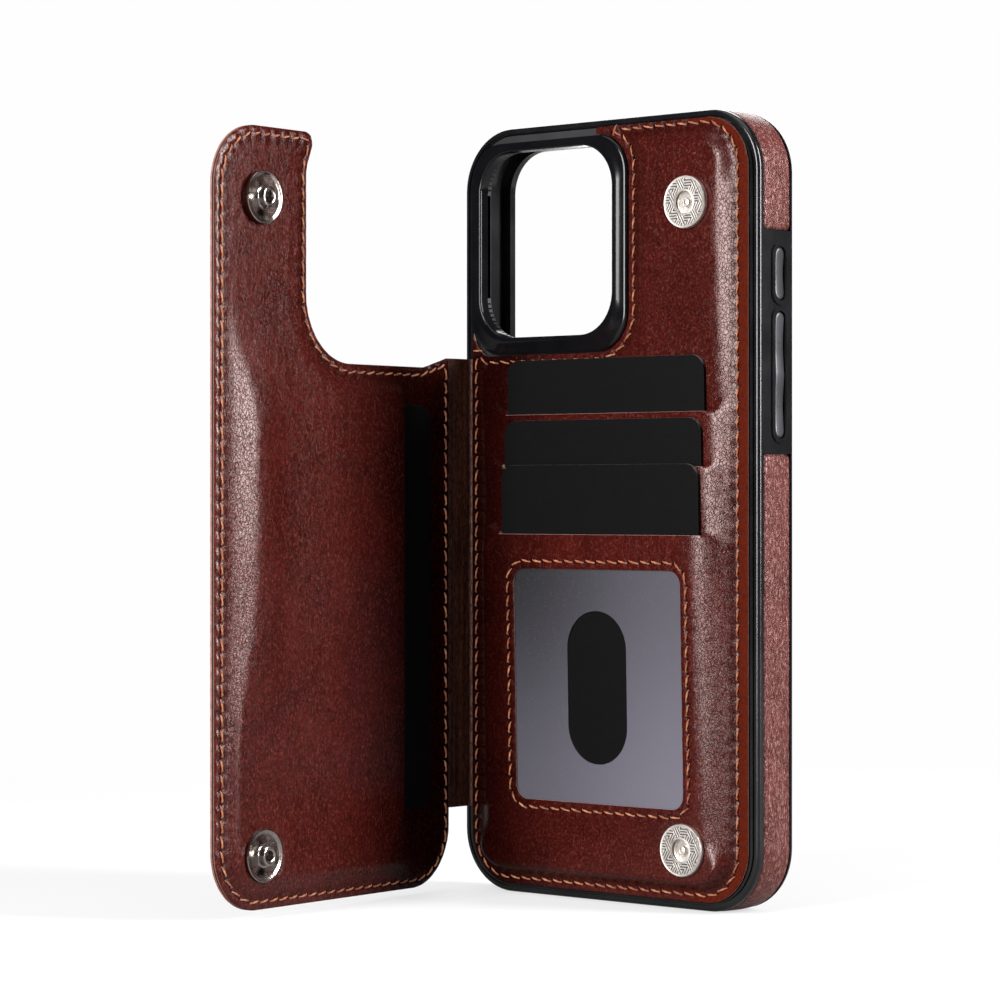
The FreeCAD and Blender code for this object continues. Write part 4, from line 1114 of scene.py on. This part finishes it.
def sew(name, body, node_name, seam, height, place, side):
    """Row of slanted two-ply stitches whose ends dip into the needle holes."""
    rings, sides, strands = 9, 6, 2
    centres = evenly(seam.loop, seam.count)
    way = evenly(seam.loop, seam.count, 0.2) - evenly(seam.loop, seam.count, -0.2)
    way /= np.linalg.norm(way, axis=1)[:, None]
    beside = np.column_stack((-way[:, 1], way[:, 0]))
    outs = height(centres)
    t = np.linspace(-1, 1, rings)
    jitter = np.array([noise.noise(Vector((i * 1.7, seam.length, 0.5))) for i in range(seam.count)])
    half = 1.2 + 0.12 * jitter
    slant = 0.24 + 0.1 * jitter
    vertices = []
    for strand in range(strands):
        twist = strand * math.pi + t * 2.6
        for number in range(sides):
            angle = number * 2 * math.pi / sides
            radius = 0.125 * (1 - 0.35 * t ** 6)
            across = 0.095 * np.cos(twist) + radius * math.cos(angle)
            rise = 0.16 * (1 - t ** 4) - 0.13 * t ** 4 + 0.08 * np.sin(twist) + radius * math.sin(angle)
            rise += 0.08
            along = half[:, None] * t[None, :]
            sideways = across[None, :] - slant[:, None] * t[None, :]
            flat = centres[:, None, :] + way[:, None, :] * along[..., None]
            flat = flat + beside[:, None, :] * sideways[..., None]
            out = outs[:, None] + side * rise[None, :]
            vertices.append(np.concatenate((flat, out[..., None]), axis=2))
    grid = np.array(vertices).reshape(strands, sides, seam.count, rings, 3)
    grid = grid.transpose(2, 0, 3, 1, 4)
    flat = grid.reshape(-1, 3)
    faces = []
    for tube in range(seam.count * strands):
        first = tube * rings * sides
        for ring in range(rings - 1):
            for number in range(sides):
                a = first + ring * sides + number
                b = first + ring * sides + (number + 1) % sides
                faces.append([a, a + sides, b + sides, b][::int(side)])
        faces.append([first + number for number in range(sides)][::int(side)])
        faces.append([first + (rings - 1) * sides + number for number in range(sides)][::-int(side)])
    piece = new_object(name, place(flat[:, :2], flat[:, 2]), faces, [thread_finish], 70)
    settle(piece, body, "orange_thread", node_name)


def make_stitches():
    sew("panel_thread", "case", "panel_stitching", panel_seam, panel_front, on_case, 1)
    sew("window_thread", "case", "window_stitching", window_seam, panel_front, on_case, 1)
    sew("flap_thread_inner", "flap", "flap_stitching_inner", flap_seam, flap_inner_front, on_flap, -1)
    sew("flap_thread_outer", "flap", "flap_stitching_outer", flap_seam, flap_outer_front, on_flap, 1)


# ---------------------------------------------------------------- side bands and keys

case_loop = rounded(area(-HALF_WIDTH, HALF_WIDTH, -HALF_HEIGHT, HALF_HEIGHT, CASE_CORNER), 0.25)
case_along = loop_lengths(case_loop)


def along_case(x, z):
    """Distance along the case's outline to the spot nearest a point."""
    return depth_in(np.array(((x, z),)), case_loop)[1][0]


def on_band(start):
    """Place for points given as (distance along the outline from start, out) and a height over it."""
    closed = np.vstack((case_loop, case_loop[:1]))

    def spot(distance):
        wrapped = distance % case_along[-1]
        return [np.interp(wrapped, case_along, closed[:, axis]) for axis in (0, 1)]

    def place(points, height):
        s = points[:, 0] + start
        x, z = spot(s)
        after = spot(s + 0.4)
        before = spot(s - 0.4)
        way = np.column_stack((after[0] - before[0], after[1] - before[1]))
        way /= np.linalg.norm(way, axis=1)[:, None]
        x = x + way[:, 1] * height
        z = z - way[:, 0] * height
        return np.column_stack((x, RIM_Y - points[:, 1], MIDDLE_Z + z)) * MM
    return place


def make_band(name, node_name, start, end, openings):
    """Strip of leather round part of the case's edge, crowned and with softened edges."""
    length = (end - start) % case_along[-1]
    corners = area(0.06, length - 0.06, *BAND_OUTS, 1.3)
    holes = []
    for x, width, height in openings:
        middle = (along_case(x, -HALF_HEIGHT) - start) % case_along[-1]
        holes.append(spaced(bar(middle, -CASE_DEPTH / 2, width, height), 0.4))
    flat = fill(spaced(corners, 0.5), holes, 0.6)
    points = flat[0]
    edge_depth = depth_in(points, rounded(corners))[0]
    height = BAND_CROWN * (1 - ((points[:, 1] - sum(BAND_OUTS) / 2) / 4.4) ** 2)
    height -= 2 * BAND_CROWN * (1 - np.clip(edge_depth / 0.8, 0, 1)) ** 2
    height += 0.02 * rough(points, 3.0, 51.0, 3)
    # The dark mark paints shade along the band's edges, where they dip into the bumper.
    piece = closed_sheet(name, on_band(start), flat, height, 0.0, [band_hide_with_painted_sheen, dark_edge],
                         back=np.full(len(points), BAND_BACK), bulge=0.0,
                         marks={"dark": 0.5 * (1 - smooth(edge_depth / 0.7))})
    settle(piece, "case", "band_leather", node_name)


def make_bands():
    right_low, right_high = (along_case(HALF_WIDTH, z) for z in RIGHT_KEY_ZONE)
    left_low, left_high = (along_case(-HALF_WIDTH, z) for z in LEFT_KEY_ZONE)
    make_band("band_skin_lower", "side_band_lower", left_low, right_low, (PORT, *SPEAKERS))
    make_band("band_skin_upper", "side_band_upper", right_high, left_high, ())


def on_side(side):
    """Place for points given as (z, out) and a distance from the middle, on one side of the case."""
    def place(points, height):
        return np.column_stack((side * height, RIM_Y - points[:, 1], MIDDLE_Z + points[:, 0])) * MM
    return place


def make_key(name, side, dishes):
    """Side key: a bar with round ends, hollowed for a finger, with softened edges."""
    low, high = box_mm(name)
    low_z = low.z - MIDDLE_Z + KEY_FLANGE
    high_z = high.z - MIDDLE_Z - KEY_FLANGE
    outer = high.x if side > 0 else -low.x
    inner = low.x if side > 0 else -high.x
    middle_out = RIM_Y - (low.y + high.y) / 2
    corners = bar((low_z + high_z) / 2, middle_out, high_z - low_z, KEY_WIDTH)
    flat = fill(spaced(corners, 0.3), [], 0.3)
    points = flat[0]
    share = ((points[:, 0] - low_z) / (high_z - low_z) * dishes) % 1.0
    edge_depth = depth_in(points, rounded(corners, 0.2))[0]
    height = outer - KEY_DISH * np.sin(share * math.pi) ** 1.3
    height -= 0.45 * (1 - np.clip(edge_depth / 0.55, 0, 1)) ** 2.2
    height -= 0.1 * ((points[:, 1] - middle_out) / (KEY_WIDTH / 2)) ** 2
    piece = closed_sheet(name + "_cap", on_side(side), flat, height, 0.0, [key_finish], side < 0,
                         np.full(len(points), inner + 0.05), 0.0)
    settle(piece, name, "key_grey", name)
    return low_z, high_z, middle_out, outer


def make_marks(low_z, high_z, middle_out, outer):
    """Plus and minus signs on the two halves of the volume key."""
    quarter = (high_z - low_z) / 4
    upper = high_z - quarter
    lower = low_z + quarter
    long, short = 1.3, 0.22
    for name, z, length, height in (("volume_mark_plus_a", upper, long, short),
                                    ("volume_mark_plus_b", upper, short, long),
                                    ("volume_mark_minus", lower, short, long)):
        low_out = middle_out - height / 2
        corners = area(z - length / 2, z + length / 2, low_out, low_out + height, 0.08)
        flat = fill(spaced(corners, 0.1), [], 0.15)
        count = len(flat[0])
        piece = closed_sheet(name, on_side(1), flat, np.full(count, outer - 0.33), 0, [mark_finish],
                             back=np.full(count, outer - 0.5), bulge=0)
        settle(piece, "volume_key", "key_grey")


def make_keys():
    make_key("action_key", 1, 1)
    make_marks(*make_key("volume_key", 1, 2))
    make_key("power_key", -1, 1)


# ---------------------------------------------------------------- camera bezel and snaps

def make_bezel():
    """Glossy frame round the camera opening: a rounded shoulder, a slope up and a rolled inner lip."""
    outer = rounded(area(*BEZEL, grow=-0.02), arc_steps=14)
    inner = rounded(area(*LENS_OPENING), arc_steps=14)
    profile = [(0.0, -0.78), (0.0, 0.1), (0.0, 0.55), (0.03, 0.85), (0.10, 1.02), (0.20, 1.10),
               (0.34, 1.20), (0.50, 1.36), (0.62, 1.50), (0.72, 1.60), (0.80, 1.645), (0.87, 1.64),
               (0.94, 1.58), (0.985, 1.44), (1.0, 1.2), (1.0, 0.5), (1.0, -0.2), (1.0, -1.0),
               (1.0, -1.7), (0.9, -1.72), (0.9, -0.79)]
    rings = []
    for share, out in profile:
        loop = mix(outer, inner, share)
        rings.append(on_case(loop, np.full(len(loop), out)))
    faces = ring_faces(len(rings), len(outer))
    piece = new_object("camera_bezel_frame", np.vstack(rings), faces, [bezel_finish], 45)
    settle(piece, "case", "gloss_black", "camera_bezel")


def blocks_pattern(points, out):
    """Fine engraved lines in three directions, in six-sided blocks, on the face of a socket cap."""
    size = 2.2
    line_pitch = 0.55
    radius = np.hypot(points[:, 0], points[:, 1])
    q = (points[:, 0] * math.sqrt(3) / 3 - points[:, 1] / 3) / size
    r = points[:, 1] * 2 / 3 / size
    column = np.round(q)
    row = np.round(r)
    other = np.round(-q - r)
    off_q, off_r, off_s = abs(column - q), abs(row - r), abs(other + q + r)
    column = np.where((off_q > off_r) & (off_q > off_s), -row - other, column)
    row = np.where((off_r > off_q) & (off_r > off_s), -column - other, row)
    local_x = points[:, 0] - size * math.sqrt(3) * (column + row / 2)
    local_z = points[:, 1] - size * 1.5 * row
    sector = np.floor((np.degrees(np.arctan2(local_z, local_x)) + 30) / 120) % 3
    angle = np.radians(sector * 60 + 30)
    line = (local_x * np.cos(angle) + local_z * np.sin(angle)) / line_pitch
    groove = smooth((np.abs(line - np.round(line)) - 0.13) / 0.14)
    on_face = smooth((radius - 2.65) / 0.15) * smooth((4.95 - radius) / 0.15)
    return -ENGRAVING * (1 - groove) * on_face * (out > out.max() - 0.06)


def make_socket(name, z, base):
    """Socket of a snap: engraved cap with a rolled rim, and the cup with its pin."""
    top = base + SOCKET_HEIGHT
    face = [(5.05 - 0.09 * step, top - 0.03) for step in range(29)]
    cap = [(5.3, base + 0.01), (5.4, base + 0.2), (5.4, top - 0.28), (5.35, top - 0.1), (5.24, top),
           (5.12, top)]
    cap += face + [(2.48, top - 0.02), (2.42, top), (2.34, top), (2.3, top - 0.08), (2.3, top - 0.3),
                   (5.0, top - 0.3), (5.14, base + 0.2), (5.14, base + 0.01)]
    piece = lathe(name + "_cap", on_case, SNAP_X, z, cap[::-1], [nickel], blocks_pattern, 220)
    settle(piece, "case", "nickel", "socket_caps")
    floor = base - 0.5
    cup = [(0.01, floor), (2.5, floor), (2.55, base - 0.05), (5.1, base - 0.02), (5.1, base + 0.2),
           (2.5, base + 0.2), (2.3, base + 0.12), (2.3, floor + 0.12), (1.0, floor + 0.12),
           (0.98, base + 0.45), (0.9, base + 0.58), (0.78, base + 0.58), (0.72, base + 0.48),
           (0.62, base + 0.5), (0.4, base + 0.6), (0.01, base + 0.64)]
    piece = lathe(name + "_cup", on_case, SNAP_X, z, cup, [nickel], None, 72)
    settle(piece, "case", "nickel", "socket_bases")


def dents(points, out):
    """Uneven pressed metal, which gives the stud's dish its broken reflections."""
    radius = np.hypot(points[:, 0], points[:, 1])
    wobble = np.array([noise.noise(Vector((x / 2.2, z / 2.2, 9.0))) for x, z in points])
    return 0.05 * wobble * smooth((radius - 2.1) / 0.6) * smooth((5.0 - radius) / 0.5)


def make_stud(name, z):
    """Dished stud with a bright rolled rim and a short tubular post."""
    face = STUD_FACE_OUT
    back = face + STUD_RIM
    post_end = face - STUD_POST
    dish = [(4.6 - 0.25 * step, face + 0.22 + 0.012 * step) for step in range(9)]
    profile = [(4.9, back), (5.35, back - 0.1), (5.4, back - 0.4), (5.38, face + 0.12), (5.25, face),
               (5.05, face), (4.85, face + 0.08)] + dish
    profile += [(2.3, face + 0.3), (2.05, face + 0.2), (1.95, face), (1.95, post_end + 0.45),
                (2.05, post_end + 0.3), (2.05, post_end + 0.12), (1.9, post_end), (1.35, post_end),
                (1.1, post_end + 0.15), (1.05, face + 0.2), (0.01, face + 0.25), (0.01, back)]
    piece = lathe(name, on_flap, SNAP_X, z, profile[::-1], [stud_nickel_painted_shade], dents, 96, flip=True)
    settle(piece, "flap", "nickel", "studs")


def make_snaps():
    for level, z, base in zip(("upper", "lower"), SNAP_HEIGHTS, SOCKET_BASES):
        make_socket("socket_" + level, z, base)
        make_stud("stud_" + level, z)


# ---------------------------------------------------------------- carried-over CAD nodes

def soften_edges(cad_object, width):
    """Bevel that catches the light; the CAD mesh itself stays as it is."""
    weld = cad_object.modifiers.new("weld", "WELD")
    weld.merge_threshold = 1e-6
    bevel = cad_object.modifiers.new("soften", "BEVEL")
    bevel.width = width * MM
    bevel.segments = 2
    bevel.limit_method = "ANGLE"
    bevel.angle_limit = math.radians(50)
    bevel.use_clamp_overlap = True


def finish_cad_nodes():
    """Materials of the CAD nodes that stay, and softened edges on the cards."""
    cards = ("card_1", "card_2", "card_3", "flap_card")
    finishes = {"bumper": bumper_finish, "back_plate": shell_finish, "panel_board": board_finish,
                "flap_board": board_finish, "id_window": window_finish, "stud_washers": nickel,
                "socket_magnets": magnet_finish, **{name: card_finish for name in cards}}
    for name, material in finishes.items():
        slots = frame["nodes"][name].data.materials
        slots.clear()
        slots.append(material)
    for name in cards:
        soften_edges(frame["nodes"][name], 0.09)


# ---------------------------------------------------------------- light, floor and camera

def area_light(name, azimuth, elevation, distance, width, height, power, target):
    """Softbox aimed at a point.  Azimuth 0 is in front of the wallet side, and grows towards +X."""
    a = math.radians(azimuth)
    e = math.radians(elevation)
    way = Vector((math.sin(a) * math.cos(e), -math.cos(a) * math.cos(e), math.sin(e)))
    light = bpy.data.lights.new(name, "AREA")
    light.shape = "RECTANGLE"
    light.size = width
    light.size_y = height
    light.energy = power
    made = bpy.data.objects.new(name, light)
    bpy.context.scene.collection.objects.link(made)
    made.location = target + way * distance
    made.rotation_mode = "QUATERNION"
    made.rotation_quaternion = way.to_track_quat("Z", "Y")


BACKGROUND = (0.99, 0.99, 0.99)


def make_world():
    """Pale to the camera, dim in reflections, so that the softboxes shape the gloss."""
    world = bpy.data.worlds.new("studio")
    bpy.context.scene.world = world
    world.use_nodes = True
    tree = world.node_tree
    shader = tree.nodes["Background"]
    path = tree.nodes.new("ShaderNodeLightPath")
    pick = tree.nodes.new("ShaderNodeMix")
    pick.data_type = "RGBA"
    pick.inputs[6].default_value = (0.035, 0.035, 0.038, 1)
    pick.inputs[7].default_value = (*BACKGROUND, 1.0)
    tree.links.new(path.outputs["Is Camera Ray"], pick.inputs[0])
    tree.links.new(pick.outputs[2], shader.inputs["Color"])


def make_stage():
    """Plain pale floor, which fades into the background's white away from the case."""
    material, shader = new_material("floor_finish", Roughness=0.8, Specular_IOR_Level=0.1)
    seen = node(material, "ShaderNodeLightPath").outputs["Is Camera Ray"]
    connect(material, shader, Base_Color=blend_colour(material, seen, (0.3, 0.3, 0.3), (0.85, 0.85, 0.85)))
    place = node(material, "ShaderNodeTexCoord").outputs["Object"]
    distance = node(material, "ShaderNodeVectorMath", {0: place}, operation="LENGTH").outputs["Value"]
    far = ease(material, distance, 0.10, 0.45)
    paleness = plus(material, times(material, far, 0.38), 0.62)
    share = times(material, paleness, seen)
    glow = node(material, "ShaderNodeEmission", {"Color": (*BACKGROUND, 1.0)}).outputs[0]
    mixed = node(material, "ShaderNodeMixShader", {0: share, 1: shader.outputs[0], 2: glow}).outputs[0]
    material.node_tree.links.new(mixed, material.node_tree.nodes["Material Output"].inputs["Surface"])
    reach = 9.0
    corners = ((-reach, -reach, 0.0), (reach, -reach, 0.0), (reach, reach, 0.0), (-reach, reach, 0.0))
    floor = new_object("floor", np.array(corners), [[0, 1, 2, 3]], [material], 0)
    floor.location.z = cad_box[0].z - 0.0001


def make_lights():
    """Tall softboxes in front and to the right, and softer light from the left rear and above."""
    middle = (cad_box[0] + cad_box[1]) / 2
    area_light("front_softbox", 2, 16, 0.9, 0.34, 0.65, 14.0, middle)
    area_light("right_softbox", 117, 19, 0.9, 0.26, 0.62, 14.0, middle)
    area_light("left_softbox", -142, 20, 1.2, 0.6, 0.9, 6.0, middle)
    area_light("top_softbox", 20, 80, 1.1, 1.0, 1.0, 5, middle)


def make_camera():
    """Long-lens camera to the right of the wallet side, level with the middle of the case."""
    camera_data = bpy.data.cameras.new("camera")
    camera_data.lens = 125.5
    camera_data.sensor_width = 36
    camera = bpy.data.objects.new("camera", camera_data)
    bpy.context.scene.collection.objects.link(camera)
    aim = Vector((-0.0164, -0.0209, 0.0839))
    camera.location = Vector((0.477, -0.5575, 0.0839))
    camera.rotation_mode = "QUATERNION"
    camera.rotation_quaternion = (aim - camera.location).to_track_quat("-Z", "Y")
    bpy.context.scene.camera = camera


make_panel_leather()
make_panel_padding()
make_linings()
make_flap_leathers()
make_flap_pads()
make_spine()
make_stitches()
make_bands()
make_keys()
make_bezel()
make_snaps()
finish_cad_nodes()
make_world()
make_stage()
make_lights()
make_camera()
bpy.context.scene.view_settings.view_transform = "Standard"
